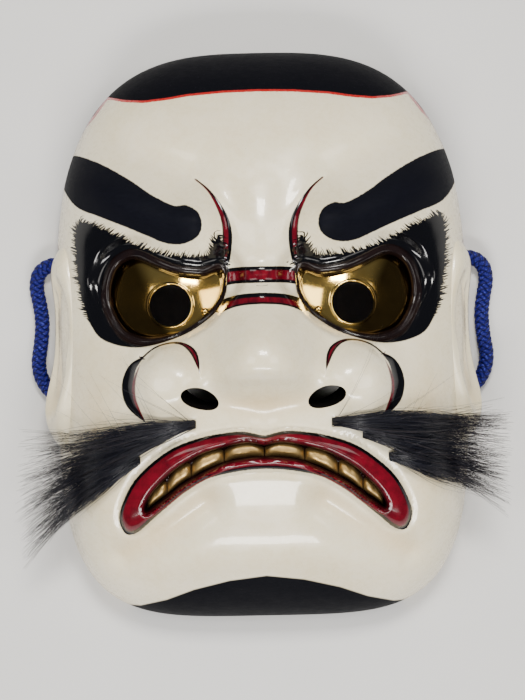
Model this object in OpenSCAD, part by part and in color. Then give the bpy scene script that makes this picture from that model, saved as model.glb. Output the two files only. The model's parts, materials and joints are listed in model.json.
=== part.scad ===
// Noh mask: hollow carved wooden face, gilt eye plates, gilded teeth, hair moustache, braided cords.
// Millimetres. The mask lies face up: +Z out of the face, +Y to the forehead, the rim at Z = 0.

/* [Mask] */
// Width of the face across the rim
face_w = 156; // [120:1:190]
// Height of the face from chin to forehead
face_h = 214; // [165:1:260]
// Rise of the domed face above the rim, without the nose
dome_d = 50; // [40:1:62]
// Wall thickness at the rim
wall_t = 8; // [6.5:0.1:10]
// Height of the arches in the rim at the sides
arch_h = 7.5; // [6:0.1:9]
// Rise of the nose over the face
nose_d = 21; // [14:0.5:26]
// Bore of each nostril
nostril_d = 8; // [6:0.1:10]

/* [Eyes] */
// Drop of the domed eye plates from their crown to their outer end
eye_drop = 12.9; // [10:0.1:16]
// Thickness of the eye plates
plate_t = 0.8; // [0.6:0.1:1.2]
// Diameter of the pupil openings
pupil_d = 15; // [12:0.1:18]
// Diameter of the nail heads
nail_d = 2.6; // [2:0.1:3.2]

/* [Mouth] */
// Half width of the row of teeth
teeth_w = 43; // [34:0.5:44]
// Depth of the row of teeth behind their faces
teeth_d = 5; // [4:0.1:6]

/* [Ears] */
// Length of each ear
ear_l = 76; // [60:1:92]
// Breadth of each ear across its seat
ear_b = 20; // [16:0.5:22]
// Thickness of the ear at its rim
ear_t = 7.5; // [5:0.5:9]

/* [Hair] */
// Half width across the tips of the moustache
hair_w = 88; // [72:1:100]
// Thickness of a tuft at its root
root_d = 3; // [2.4:0.1:3.4]

/* [Cords] */
// Diameter of the cords
cord_d = 5.5; // [4:0.1:7]
// Clearance across the bores that the cords pass through
bore_play = 1.2; // [0.8:0.1:2]
// Least clearance between a cord and the arch over it
arch_play = 1.65; // [1.2:0.05:3]
// Diameter of the stopper knots
knot_d = 10; // [8:0.5:12]
// Mean diameter of the coiled cord
coil_d = 55; // [48:1:56]
// Thickness of the coiled bundle
bundle_d = 13.4; // [12:0.2:14]

/* [Hidden] */
$fn = 96;
half_w = face_w / 2;
half_h = face_h / 2;
kx = half_w / 78;
ky = half_h / 107;
kz = dome_d / 50;
dome_e = 2.35;
n_top = 3.05;
n_jaw = 4.2;
nx = 56;
ny = 76;
eye_reach = 27.6 * kx;
eye_r = (pow(eye_reach, 2) + pow(eye_drop, 2)) / (2 * eye_drop);
ball = [28 * kx, 12 * ky, 45.5 * kz - eye_r];
aperture_r = pupil_d / 2 + 1.5;
pupil = [33 * kx, 10.7 * ky];
nostril = [22.6 * kx, -23 * ky];
nostril_z = 56 * kz;
// the ears sit on the chord of the side wall, sunk a little into it
function side_x(z) = half_w * pow(1 - pow(min(0.99, z / dome_d), dome_e), 1 / dome_e);
ear_z = 17.5 * kz;
ear_low = side_x(ear_z - 9.4);
ear_high = side_x(ear_z + 9.4);
ear_c = [side_x(ear_z) - 1.8, -4 * ky, ear_z];
ear_tilt = 90 - atan2(ear_low - ear_high, 18.8);
bore_y = 28 * ky;
bore_z = 5.2;
bore_d = cord_d + bore_play;
mouth_drop = 13 * kz;
mouth_r = (pow(44 * kx, 2) + pow(mouth_drop, 2)) / (2 * mouth_drop);
mouth_zc = 55 * kz - mouth_r;
teeth_r = mouth_r - 2;
seat_gap = 0.2;
ivory = [0.9, 0.87, 0.78];
black = [0.06, 0.06, 0.07];
gold = [0.83, 0.63, 0.24];
blue = [0.12, 0.14, 0.75];

// ---- height of the carved face ----
function clamp01(v) = max(0, min(1, v));
function smooth(a, b, v) = let (t = clamp01((v - a) / (b - a))) t * t * (3 - 2 * t);
function hill(x, y, cx, cy, sx, sy) = exp(-(pow((x - cx) / sx, 2) + pow((y - cy) / sy, 2)));
function seg2(x, y, a, b) = let (
    d = b - a,
    t = clamp01(((x - a[0]) * d[0] + (y - a[1]) * d[1]) / (d * d)),
    u = [x - a[0] - t * d[0], y - a[1] - t * d[1]]) u * u;
function ridge(x, y, pts, w) =
    exp(-min([for (i = [0 : len(pts) - 2]) seg2(x, y, pts[i], pts[i + 1])]) / (w * w));

brow_line = [[24, 40], [34, 42], [48, 48], [62, 55], [70, 58]];
valley_line = [[26, 60], [40, 66], [58, 76]];
crease_line = [[23, 55], [16, 48], [12.6, 38], [13.4, 28]];
jowl_line = [[22, -61], [34, -70], [52, -80]];

function side_n(x, y) = n_top + (n_jaw - n_top) * smooth(0.3, -0.6, y / max(1e-6, norm([x, y])));
function dome(x, y, hw, hh, d) = let (
    n = side_n(x / hw, y / hh),
    r = pow(pow(abs(x) / hw, n) + pow(abs(y) / hh, n), 1 / n))
    d * pow(max(0, 1 - pow(r, dome_e)), 1 / dome_e);

// brow, glabella, nose, muzzle, cheeks and chin, in the nominal size
function nose(x, y) = let (sy = y > -11 ? 17 : 10.5)
    nose_d * exp(-pow(x / 19, 2.6) - pow(abs(y + 11) / sy, 2.2))
    + 9 * hill(x, y, 0, 14, 11, 16)
    + 11 * exp(-pow(norm([x - 34.5, (y + 17) / 1.05]) / 12.5, 3.2));
function general(x, y) =
    2.5 * hill(x, y, 0, 66, 40, 26)
    + 7.5 * ridge(x, y, brow_line, 9.5)
    + 2 * hill(x, y, 25, 40, 8, 8)
    - 2.2 * ridge(x, y, valley_line, 7)
    + 3 * hill(x, y, 0, 40, 9, 16)
    - 2.6 * ridge(x, y, crease_line, 2.6)
    - 7 * hill(x, y, 0, 18, 18, 12)
    + nose(x, y)
    + 7.5 * hill(x, y, 0, -44, 44, 22)
    + 4 * hill(x, y, 52, -22, 18, 18)
    + 6.5 * hill(x, y, 0, -80, 42, 17)
    + 5 * hill(x, y, 62, -62, 14, 26)
    - 4 * ridge(x, y, jowl_line, 6.5);

// how far out of the eye a point is, 1 on the outline
function eye_norm(x, y) = let (
    u = (x - 34.8) * cos(9) + (y - 12.6) * sin(9),
    v = -(x - 34.8) * sin(9) + (y - 12.6) * cos(9))
    pow(pow(abs(u) / 21.8, 2.7) + pow(abs(v) / 14.2, 2.7), 1 / 2.7);
function ball_z(x, y) = ball[2] + sqrt(max(1, pow(eye_r, 2) - pow(x - ball[0], 2) - pow(y - ball[1], 2)));

// outlines of the lips and of the slot for the teeth
function lip_top(x) = -35.3 - 29 * pow(abs(x) / 52.6, 3.4);
function lip_low(x) = -48.4 - 22.8 * pow(abs(x) / 49, 1.9);
function slot_top(x) = -38 - 26 * pow(abs(x) / 46, 2.9);
function slot_low(x) = -44.2 - 22 * pow(abs(x) / 44, 1.75);

function outer_z(x, y) = let (
    ax = abs(x) / kx,
    by = y / ky,
    d = dome(x, y, half_w, half_h, dome_d),
    c = pow(clamp01(d / dome_d), dome_e / 2),
    z = d + general(ax, by) * (1 - pow(1 - c, 3)),
    e = eye_norm(ax, by),
    w = smooth(1.05, 1.5, e),
    lid = ball_z(abs(x), y) + 1 + 2.6 * smooth(8, 24, by),
    m = min(lip_top(ax) - by, by - lip_low(ax), (52.6 - ax)))
    (ax < 70 ? lid * (1 - w) + z * w : z) + 2.4 * smooth(-1, 2, m);

// the hollow: shallower than the face by the wall
function inner_z(x, y) = let (
    ax = abs(x) / kx,
    by = y / ky,
    d = dome(x, y, half_w - wall_t, half_h - wall_t, dome_d - wall_t - 2),
    c = pow(clamp01(d / (dome_d - wall_t - 2)), dome_e / 2))
    d + (1 - pow(1 - c, 3)) * (0.6 * nose_d * hill(ax, by, 0, -8, 20, 15)
        + 4 * hill(ax, by, 0, -44, 34, 20)
        - 3 * hill(ax, by, 50, 14, 14, 18)
        - 3.5 * hill(ax, by, 46, -66, 14, 14));

function disc(a, b) = [a * sqrt(1 - b * b / 2), b * sqrt(1 - a * a / 2)];
function face_xy(a, b, hw, hh) = let (
    p = disc(a, b),
    s = norm(p),
    q = s < 1e-9 ? [1, 0] : p / s,
    n = side_n(q[0], q[1]),
    r = 1 / pow(pow(abs(q[0]), n) + pow(abs(q[1]), n), 1 / n),
    rho = 1 - pow(1 - min(1, s), 1.4))
    [hw * rho * r * q[0], hh * rho * r * q[1]];
function on_edge(i, j, m, n) = i == 0 || j == 0 || i == m || j == n;
function outer_pt(i, j) = let (p = face_xy(2 * i / nx - 1, 2 * j / ny - 1, half_w, half_h))
    [p[0], p[1], on_edge(i, j, nx, ny) ? 0 : max(0.02, outer_z(p[0], p[1]))];
function inner_pt(i, j) = let (
    m = nx / 2,
    n = ny / 2,
    p = face_xy(2 * i / m - 1, 2 * j / n - 1, half_w - wall_t, half_h - wall_t))
    [p[0], p[1], on_edge(i, j, m, n) ? 0 : max(0.02, inner_z(p[0], p[1]))];
// corners of the border of a grid, counter-clockwise
function border(m, n) = concat(
    [for (i = [0 : m - 1]) i * (n + 1)],
    [for (j = [0 : n - 1]) m * (n + 1) + j],
    [for (i = [m : -1 : 1]) i * (n + 1) + n],
    [for (j = [n : -1 : 1]) j]);
function sheet(m, n, k, up) = [for (i = [0 : m - 1], j = [0 : n - 1], h = [0, 1]) let (
    a = k + i * (n + 1) + j,
    q = [a, a + n + 1, a + n + 2, a + 1],
    t = h == 0 ? [q[0], q[1], q[2]] : [q[0], q[2], q[3]])
    up ? [t[2], t[1], t[0]] : t];

module face_solid() {
    m = nx / 2;
    n = ny / 2;
    k = (nx + 1) * (ny + 1);
    top = [for (i = [0 : nx], j = [0 : ny]) outer_pt(i, j)];
    bottom = [for (i = [0 : m], j = [0 : n]) inner_pt(i, j)];
    ob = border(nx, ny);
    ib = [for (v = border(m, n)) v + k];
    no = len(ob);
    ni = len(ib);
    rim = [for (s = [0 : ni - 1], h = [0 : 2])
        h == 0 ? [ob[2 * s], ob[2 * s + 1], ib[s]]
        : h == 1 ? [ob[2 * s + 1], ib[(s + 1) % ni], ib[s]]
        : [ob[2 * s + 1], ob[(2 * s + 2) % no], ib[(s + 1) % ni]]];
    polyhedron(concat(top, bottom), concat(sheet(nx, ny, 0, true), sheet(m, n, k, false), rim), convexity = 12);
}

// ---- eyes ----
eye_outline = [[14.6, 22.4], [22, 21.4], [30.4, 22.2], [38.4, 25.2], [45.3, 27.8], [50.5, 27.2], [54, 23.5],
    [55.4, 17.5], [54.7, 11.5], [51.8, 5.2], [47.6, 1.2], [39.6, -0.6], [29.9, 1], [22.8, 4.6], [17.2, 10.4],
    [14.4, 17.6]];
module eye_prism(grow) {
    c = [34.8, 12.6];
    g = 1 + grow / 17;
    linear_extrude(70)
        polygon([for (p = eye_outline) [kx * (c[0] + (p[0] - c[0]) * g), ky * (c[1] + (p[1] - c[1]) * g)]]);
}
nail_p = [20.4, 8.2];
nail_dir = let (
    x = nail_p[0] * kx,
    y = nail_p[1] * ky,
    v = [x, y, ball_z(x, y)] - ball) v / norm(v);
module along_nail() {
    translate(ball)
        rotate([0, acos(nail_dir[2]), atan2(nail_dir[1], nail_dir[0])])
            children();
}
module eye_plate() {
    color(gold)
        difference() {
            intersection() {
                translate(ball)
                    sphere(r = eye_r);
                eye_prism(0);
            }
            translate(ball)
                sphere(r = eye_r - plate_t);
            translate([pupil[0], pupil[1], 0])
                cylinder(d = pupil_d, h = 90);
            along_nail()
                cylinder(d = 1.7, h = eye_r + 5);
        }
}
module eye_nail() {
    color(gold)
        along_nail() {
            translate([0, 0, eye_r - 4.5])
                cylinder(d = 1.5, h = 4.8);
            translate([0, 0, eye_r + 0.05])
                cylinder(d1 = nail_d, d2 = nail_d * 0.55, h = 1, $fn = 48);
        }
}
module eye_cut() {
    difference() {
        eye_prism(0.3);
        translate(ball)
            sphere(r = eye_r - plate_t);
    }
    translate([pupil[0], pupil[1], 0])
        cylinder(r = aperture_r, h = 90);
    along_nail()
        translate([0, 0, eye_r - 5.2])
            cylinder(d = 1.7, h = 6);
}

// ---- mouth ----
module slot_shape() {
    w = 46;
    xs = [for (i = [-14 : 14]) w * sin(i * 90 / 14)];
    polygon([for (p = concat([for (x = xs) [x, max(-66.5, slot_low(x))]],
        [for (i = [28 : -1 : 0]) [xs[i], slot_top(xs[i])]])) [p[0] * kx, p[1] * ky]]);
}
module mouth_slot() {
    difference() {
        linear_extrude(90)
            slot_shape();
        translate([0, 0, mouth_zc])
            rotate([90, 0, 0])
                cylinder(r = teeth_r - teeth_d, h = 400, center = true);
    }
}
tooth_edges = [0, 14.5, 26.5, 35.5, 43];
function tooth_lobe(x) = let (
    a = min(42.99, abs(x)),
    k = max([for (i = [0 : 3]) a >= tooth_edges[i] ? i : 0]),
    t = (a - tooth_edges[k]) / (tooth_edges[k + 1] - tooth_edges[k]))
    pow(max(0, 1 - pow(abs(2 * t - 1), 2.6)), 0.5);
module tooth_row() {
    mx = 72;
    ms = 6;
    step = teeth_w / (mx / 2);
    rb = teeth_r - teeth_d + 0.05;
    function xx(i) = (i - mx / 2) * step;
    function edge(i, s) = let (
        x = xx(i) * 43 / teeth_w,
        lo = max(-66.2, slot_low(x)) + 0.35,
        hi = slot_top(x) - 0.35) (lo + (hi - lo) * s) * ky;
    function back(i) = mouth_zc + sqrt(rb * rb - pow(xx(i) * kx, 2));
    function front(i, s) = back(i) + (teeth_d - 1.6)
        + (0.5 + 1.6 * tooth_lobe(xx(i) * 43 / teeth_w)) * sqrt(max(0, 1 - pow(2 * s - 1, 4)));
    pts = concat(
        [for (i = [0 : mx], j = [0 : ms]) [xx(i) * kx, edge(i, j / ms), front(i, j / ms)]],
        [for (i = [0 : mx], j = [0 : ms]) [xx(i) * kx, edge(i, j / ms), back(i)]]);
    k = (mx + 1) * (ms + 1);
    b = border(mx, ms);
    nb = len(b);
    wall = [for (s = [0 : nb - 1], h = [0, 1]) let (p = b[s], q = b[(s + 1) % nb])
        h == 0 ? [p, q, q + k] : [p, q + k, p + k]];
    color(gold)
        polyhedron(pts, concat(sheet(mx, ms, 0, true), sheet(mx, ms, k, false), wall), convexity = 6);
}

// ---- ears ----
function ear_edge(i, n, grow) = let (a = 360 * i / n, c = cos(a), s = sin(a))
    [(ear_b / 2 + grow) * sign(c) * pow(abs(c), 0.8), (ear_l / 2 + grow) * sign(s) * pow(abs(s), 0.8)];
module ear_frame() {
    translate(ear_c)
        rotate([0, ear_tilt, 0])
            children();
}
module ear_seat() {
    ear_frame()
        linear_extrude(14)
            polygon([for (i = [0 : 39]) ear_edge(i, 40, 0.25)]);
}
// raised helix round a hollow; the helix stands out at its top and at the lobe, and lies close between them
function ear_h(r, a, y) = let (
    v = (y * 76 / ear_l) - 4,
    low = 0.5 + 0.5 * cos(a),
    out = 0.2 + 0.45 * exp(-pow((v - 27) / 11, 2)) + 0.82 * exp(-pow((v + 31) / 17, 2)))
    ear_t * out * (0.75 + 0.25 * low) * (r > 0.7 ? sqrt(max(0, 1 - pow((r - 0.7) / 0.3, 2)))
        : 1 - 0.45 * smooth(0.7, 0.3, r));
module ear() {
    rings = [0.15, 0.3, 0.45, 0.58, 0.7, 0.8, 0.88, 0.95, 0.99];
    m = len(rings);
    n = 40;
    top = [for (r = rings, i = [0 : n - 1]) let (p = ear_edge(i, n, 0) * r)
        [p[0], p[1], max(0.4, ear_h(r, 360 * i / n, p[1]))]];
    foot = [for (i = [0 : n - 1]) let (p = ear_edge(i, n, 0)) [p[0], p[1], 0]];
    pts = concat(top, foot, [[0, 0, ear_h(0, 0, 0)], [0, 0, 0]]);
    faces = concat(
        [for (k = [0 : m - 1], i = [0 : n - 1], h = [0, 1]) let (
            a = k * n + i,
            b = k * n + (i + 1) % n) h == 0 ? [a, b, b + n] : [a, b + n, a + n]],
        [for (i = [0 : n - 1]) [m * n + n, (i + 1) % n, i]],
        [for (i = [0 : n - 1]) [m * n + n + 1, m * n + i, m * n + (i + 1) % n]]);
    color(ivory)
        ear_frame()
            polyhedron(pts, faces, convexity = 6);
}

// ---- moustache ----
tuft_roots = [[25.5, -32], [36.5, -36.8], [46, -45]];
right_tips = [-36, -46, -56];
left_tips = [-49, -60, -71];
// the tufts lie over one another, the inner ones on top
layer = 0.85 * root_d;
function tuft_y(k, x, tips) = let (
    r = [tuft_roots[k][0] * kx, tuft_roots[k][1] * ky],
    t = clamp01((x - r[0]) / (hair_w - r[0])))
    r[1] + (tips[k] * ky - r[1]) * (0.75 * t + 0.25 * t * t);
function cheek(k, x, tips) = max(30, outer_z(min(x, half_w - 6), tuft_y(k, x, tips)));
function bed(k, x, tips) =
    max([for (q = [0 : 2]) if (q <= k || x > tuft_roots[q][0] * kx - 2) cheek(q, x, tips)]);
function tuft_z(k, x, t, tips) =
    bed(k, x, tips) + 0.8 + 3.2 * smooth(0, 0.12, t) * (1 - 0.3 * t) + layer * (2 - k) * smooth(0, 0.16, t);
module tuft(k, tips) {
    n = 12;
    rings = 14;
    root = [tuft_roots[k][0] * kx, tuft_roots[k][1] * ky];
    skin = outer_z(root[0], root[1]);
    function half_y(t) = root_d / 2 + 2.2 * pow(t, 1.5) - 2.4 * pow(t, 9);
    function half_z(t) = root_d * (0.5 - 0.15 * smooth(0, 0.15, t) - 0.28 * pow(t, 6));
    // the lowest rings go straight down into the wall, the others lie along the cheek
    body = [for (i = [0 : rings], a = [0 : n - 1]) let (
        t = i / rings,
        x = root[0] + (hair_w - root[0]) * t,
        p = [x, tuft_y(k, x, tips)],
        z = tuft_z(k, x, t, tips),
        lean = smooth(0, 0.1, t),
        c = cos(a * 360 / n),
        s = sin(a * 360 / n))
        [p[0] - half_z(t) * s * (1 - lean), p[1] + half_y(t) * c,
            i == 0 ? skin + 1 : z + half_z(t) * s * lean]];
    peg = [for (i = [0, 1], a = [0 : n - 1])
        [root[0] - root_d / 2 * sin(a * 360 / n), root[1] + root_d / 2 * cos(a * 360 / n),
            skin - (i == 0 ? 4 : 1)]];
    pts = concat(peg, body);
    m = rings + 2;
    faces = concat(
        [for (r = [0 : m - 1], a = [0 : n - 1], h = [0, 1]) let (
            p = r * n + a,
            q = r * n + (a + 1) % n) h == 0 ? [p, p + n, q + n] : [p, q + n, q]],
        [[for (a = [0 : n - 1]) a]],
        [[for (a = [n - 1 : -1 : 0]) m * n + a]]);
    color(black)
        polyhedron(pts, faces, convexity = 4);
}
module tuft_hole(k) {
    x = tuft_roots[k][0] * kx;
    y = tuft_roots[k][1] * ky;
    translate([x, y, outer_z(x, y) - 4.2])
        cylinder(d = root_d + 0.4, h = 20);
}

// ---- cords ----
coil_z = bundle_d / 2 + 1.3;
reach = coil_d / 2 + bundle_d / 2;
// each coil lies against its side of the hollow; where the two would meet, one lies above the other
function hollow_x(z) = (half_w - wall_t) * pow(1 - pow(z / (dome_d - wall_t - 2), dome_e), 1 / dome_e);
coil_x = hollow_x(coil_z + 6) - reach + 1.15;
coil_shift = sqrt(max(0, pow(2 * reach + 0.2, 2) - pow(2 * coil_x, 2))) / 2;
function coil_c(side) = [coil_x, -32 * ky + (side > 0 ? 2 * coil_shift : 0)];
knot_x = half_w - wall_t - 0.9;
lie_z = cord_d / 2 + 0.35;
// the cord meets the coil beside the arch, where the coil's outline is a little in from its widest
function meet(side) = let (up = coil_c(side)[1] + 26 * ky)
    coil_x + sqrt(reach * reach - up * up) + 0.05 + cord_d / 2 * abs(up) / reach;
function cord_route(side) = [[knot_x + 0.05, bore_y, bore_z], [half_w - 2, bore_y, bore_z],
    [half_w + 3, bore_y - 0.8, bore_z - 0.2], [half_w + 6.4, bore_y - 3.8, bore_z - 0.8],
    [half_w + 7.4, 19 * ky, lie_z + 0.5], [half_w + 6.4, 13 * ky, lie_z], [half_w + 5.6, 6 * ky, lie_z],
    [half_w + 6.2, -2 * ky, lie_z], [half_w + 7.2, -9 * ky, lie_z], [half_w + 6.2, -15 * ky, lie_z],
    [half_w + 3, -20 * ky, lie_z], [half_w - 1.5, -22.8 * ky, lie_z],
    [half_w - 0.62 * wall_t, -24.4 * ky, lie_z + 0.45], [half_w - wall_t + 0.2, -25.4 * ky, lie_z + 0.8],
    [meet(side), -26 * ky, lie_z + 1.9]];
function unit(v) = v / norm(v);
module swept(route, d) {
    n = 10;
    m = len(route);
    pts = [for (i = [0 : m - 1], a = [0 : n - 1]) let (
        t = i == 0 || i == m - 1 ? [1, 0, 0] * (i == 0 ? 1 : -1)
            : unit(unit(route[i] - route[i - 1]) + unit(route[i + 1] - route[i])),
        side = unit(cross([0, 0, 1], t)),
        up = cross(t, side))
        route[i] + d / 2 * (side * cos(a * 360 / n) + up * sin(a * 360 / n))];
    faces = concat(
        [for (r = [0 : m - 2], a = [0 : n - 1], h = [0, 1]) let (
            p = r * n + a,
            q = r * n + (a + 1) % n) h == 0 ? [p, p + n, q + n] : [p, q + n, q]],
        [[for (a = [0 : n - 1]) a]],
        [[for (a = [n - 1 : -1 : 0]) (m - 1) * n + a]]);
    polyhedron(pts, faces, convexity = 6);
}
module cord(side) {
    color(blue)
        swept(cord_route(side), cord_d);
}
module stopper_knot() {
    color(blue)
        translate([knot_x - knot_d / 2, bore_y, max(bore_z, knot_d / 2 + 0.05)])
            sphere(d = knot_d);
}
module cord_coil(side) {
    color(blue)
        translate([coil_c(side)[0], coil_c(side)[1], coil_z])
            rotate_extrude()
                translate([coil_d / 2, 0])
                    circle(d = bundle_d, $fn = 48);
}
module coil_tie(side) {
    color(blue)
        translate([coil_c(side)[0], coil_c(side)[1] - coil_d / 2, coil_z])
            rotate([0, 90, 0])
                rotate_extrude($fn = 64)
                    translate([bundle_d / 2 + 0.2, -2.5])
                        square([0.9, 5]);
}
module end_knot(side) {
    r = knot_d * 0.45;
    gap = bundle_d / 2 + r + 0.05;
    color(blue)
        translate([coil_c(side)[0],
            coil_c(side)[1] + coil_d / 2 - sqrt(gap * gap - pow(coil_z - r - 0.3, 2)), r + 0.3])
            sphere(r = r);
}

module mask_shell() {
    color(ivory)
        difference() {
            face_solid();
            for (s = [0, 1])
                mirror([s, 0, 0]) {
                    eye_cut();
                    ear_seat();
                    for (k = [0 : 2])
                        tuft_hole(k);
                    for (u = [-3, 3])
                        translate([nostril[0] + u * cos(25), nostril[1] + u * sin(25), nostril_z])
                            rotate([14, 0, 0])
                                translate([0, 0, -26])
                                    cylinder(d = nostril_d, h = 50);
                    translate([half_w - 20, bore_y, bore_z])
                        rotate([0, 90, 0])
                            cylinder(d = bore_d, h = 40);
                }
            mouth_slot();
            // low arches in the rim beside the cheeks, over the cords
            translate([0, -20 * ky, max(arch_h, lie_z + cord_d / 2 + arch_play) - 41.3])
                rotate([0, 90, 0])
                    cylinder(r = 41.3, h = 400, center = true, $fn = 160);
        }
}

mask_shell();
mirror([1, 0, 0]) ear();  // left_ear
ear();  // right_ear
mirror([1, 0, 0]) eye_plate();  // left_eye_plate
eye_plate();  // right_eye_plate
mirror([1, 0, 0]) eye_nail();  // left_eye_nail
eye_nail();  // right_eye_nail
tooth_row();
mirror([1, 0, 0]) tuft(0, left_tips);  // left_tuft_1
mirror([1, 0, 0]) tuft(1, left_tips);  // left_tuft_2
mirror([1, 0, 0]) tuft(2, left_tips);  // left_tuft_3
tuft(0, right_tips);  // right_tuft_1
tuft(1, right_tips);  // right_tuft_2
tuft(2, right_tips);  // right_tuft_3
mirror([1, 0, 0]) stopper_knot();  // left_stopper_knot
mirror([1, 0, 0]) cord(-1);  // left_cord
mirror([1, 0, 0]) cord_coil(-1);  // left_cord_coil
mirror([1, 0, 0]) coil_tie(-1);  // left_coil_tie
mirror([1, 0, 0]) end_knot(-1);  // left_end_knot
stopper_knot();  // right_stopper_knot
cord(1);  // right_cord
cord_coil(1);  // right_cord_coil
coil_tie(1);  // right_coil_tie
end_knot(1);  // right_end_knot
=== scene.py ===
import json
import math

import bpy
import numpy as np
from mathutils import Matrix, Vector

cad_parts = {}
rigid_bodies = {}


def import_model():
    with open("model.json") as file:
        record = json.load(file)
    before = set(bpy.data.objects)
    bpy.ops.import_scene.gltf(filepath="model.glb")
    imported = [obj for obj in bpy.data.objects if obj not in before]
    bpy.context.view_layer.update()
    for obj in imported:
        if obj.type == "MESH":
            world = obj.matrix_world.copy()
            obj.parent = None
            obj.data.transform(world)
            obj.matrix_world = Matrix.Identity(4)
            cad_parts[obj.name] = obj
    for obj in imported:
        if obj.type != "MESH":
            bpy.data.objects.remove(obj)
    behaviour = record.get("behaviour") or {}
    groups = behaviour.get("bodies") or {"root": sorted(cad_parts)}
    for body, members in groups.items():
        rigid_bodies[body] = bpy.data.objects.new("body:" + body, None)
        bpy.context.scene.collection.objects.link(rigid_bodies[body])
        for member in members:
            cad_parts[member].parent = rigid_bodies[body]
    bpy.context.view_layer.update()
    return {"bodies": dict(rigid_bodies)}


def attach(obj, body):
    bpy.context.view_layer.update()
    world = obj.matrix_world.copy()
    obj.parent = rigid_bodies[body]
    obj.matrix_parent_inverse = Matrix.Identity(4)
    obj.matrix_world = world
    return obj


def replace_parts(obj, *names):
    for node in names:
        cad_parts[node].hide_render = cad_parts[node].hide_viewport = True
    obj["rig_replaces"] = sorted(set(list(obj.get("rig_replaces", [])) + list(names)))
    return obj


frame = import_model()
BODY = next(iter(frame["bodies"]))
MM = 0.001
rng = np.random.default_rng(7)

# ---- sizes, mm
HALF_W, HALF_H, DOME, WALL = 78.0, 107.0, 50.0, 8.0
DOME_E, N_TOP, N_JAW = 2.35, 3.05, 4.2
EYE_HALF, EYE_DROP = 27.6, 12.9
EYE_R = (EYE_HALF**2 + EYE_DROP**2) / (2 * EYE_DROP)
BALL = (28.0, 12.0, 45.5 - EYE_R)
PUPIL, PUPIL_R = (33.0, 10.7), 7.5
BORE_Y, BORE_Z = 28, 5
ARCH_R, ARCH_Y, ARCH_DOWN = 41.3, 20, 33.8
CAM_H, REF_Z, CAM_Y = 800.0, 15.0, -6.0
HALF_VIEW = 131.25
SIDES = ((-1, "left"), (1, "right"))


def seen(x, y, z):
    """Where a point of the face shows from 80 cm in front of it, in mm at height REF_Z."""
    k = (CAM_H - REF_Z) / (CAM_H - z)
    return x * k, CAM_Y + (y - CAM_Y) * k


def real(points, z):
    """The reverse of seen, for points that all lie near height z."""
    k = (CAM_H - z) / (CAM_H - REF_Z)
    return np.array([(x * k, CAM_Y + (y - CAM_Y) * k) for x, y in points])


# ---- camera
data = bpy.data.cameras.new("camera")
data.sensor_width = 36
data.lens = data.sensor_width / 2 / (HALF_VIEW / (CAM_H - REF_Z))
camera = bpy.data.objects.new("camera", data)
bpy.context.scene.collection.objects.link(camera)
camera.location = (0, CAM_Y * MM, CAM_H * MM)
camera.rotation_euler = (0, 0, math.radians(-1.1))
bpy.context.scene.camera = camera


# ---- small maths
def smooth(a, b, v):
    t = np.clip((v - a) / (b - a), 0, 1)
    return t * t * (3 - 2 * t)


def hill(x, y, cx, cy, sx, sy):
    return np.exp(-(((x - cx) / sx) ** 2 + ((y - cy) / sy) ** 2))


def spline(points, closed=True, n=8):
    """A Catmull-Rom curve through the points."""
    p = np.array(points, float)
    m = len(p)
    out = []
    for i in range(m if closed else m - 1):
        a, b, c, d = (
            (p[i - 1], p[i], p[(i + 1) % m], p[(i + 2) % m])
            if closed
            else (p[max(i - 1, 0)], p[i], p[i + 1], p[min(i + 2, m - 1)])
        )
        for k in range(n):
            t = k / n
            curve = (2 * a - 5 * b + 4 * c - d) * t * t + (3 * b - a - 3 * c + d) * t**3
            out.append(0.5 * (2 * b + (c - a) * t + curve))
    if not closed:
        out.append(p[-1])
    return np.array(out)


def mirrored(points):
    """A right-hand outline from one end of the centre line to the other, closed by its mirror image."""
    p = np.array(points, float)
    return np.concatenate([p, (p * [-1, 1])[::-1][1:-1]])


def run_along(p):
    """The length run along a path, at each of its points."""
    return np.concatenate([[0], np.cumsum(np.linalg.norm(np.diff(p, axis=0), axis=1))])


def line_distance(x, y, line):
    """Distance to an open line, and how far along it the nearest point is, 0 to 1."""
    best, along = np.full(np.shape(x), 1e9), np.zeros(np.shape(x))
    seg = np.hypot(*np.diff(line, axis=0).T)
    start = np.concatenate([[0], np.cumsum(seg)])
    for (ax, ay), (bx, by), ln, s in zip(line[:-1], line[1:], seg, start):
        dx, dy = bx - ax, by - ay
        t = np.clip(((x - ax) * dx + (y - ay) * dy) / (ln * ln), 0, 1)
        d = np.hypot(x - ax - t * dx, y - ay - t * dy)
        near = d < best
        best, along = np.where(near, d, best), np.where(near, (s + t * ln) / start[-1], along)
    return best, along


def loop_distance(x, y, loop):
    """Signed distance to a closed outline, negative inside, and mm along it to the nearest point."""
    best, along = np.full(np.shape(x), 1e9), np.zeros(np.shape(x))
    inside = np.zeros(np.shape(x), bool)
    ends = np.roll(loop, -1, axis=0)
    start = 0.0
    for (ax, ay), (bx, by) in zip(loop, ends):
        dx, dy = bx - ax, by - ay
        ln = max(math.hypot(dx, dy), 1e-9)
        t = np.clip(((x - ax) * dx + (y - ay) * dy) / (ln * ln), 0, 1)
        d = np.hypot(x - ax - t * dx, y - ay - t * dy)
        near = d < best
        best, along = np.where(near, d, best), np.where(near, start + t * ln, along)
        start += ln
        if by != ay:
            inside ^= ((ay > y) != (by > y)) & (x < dx * (y - ay) / dy + ax)
    return np.where(inside, -best, best), along


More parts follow.
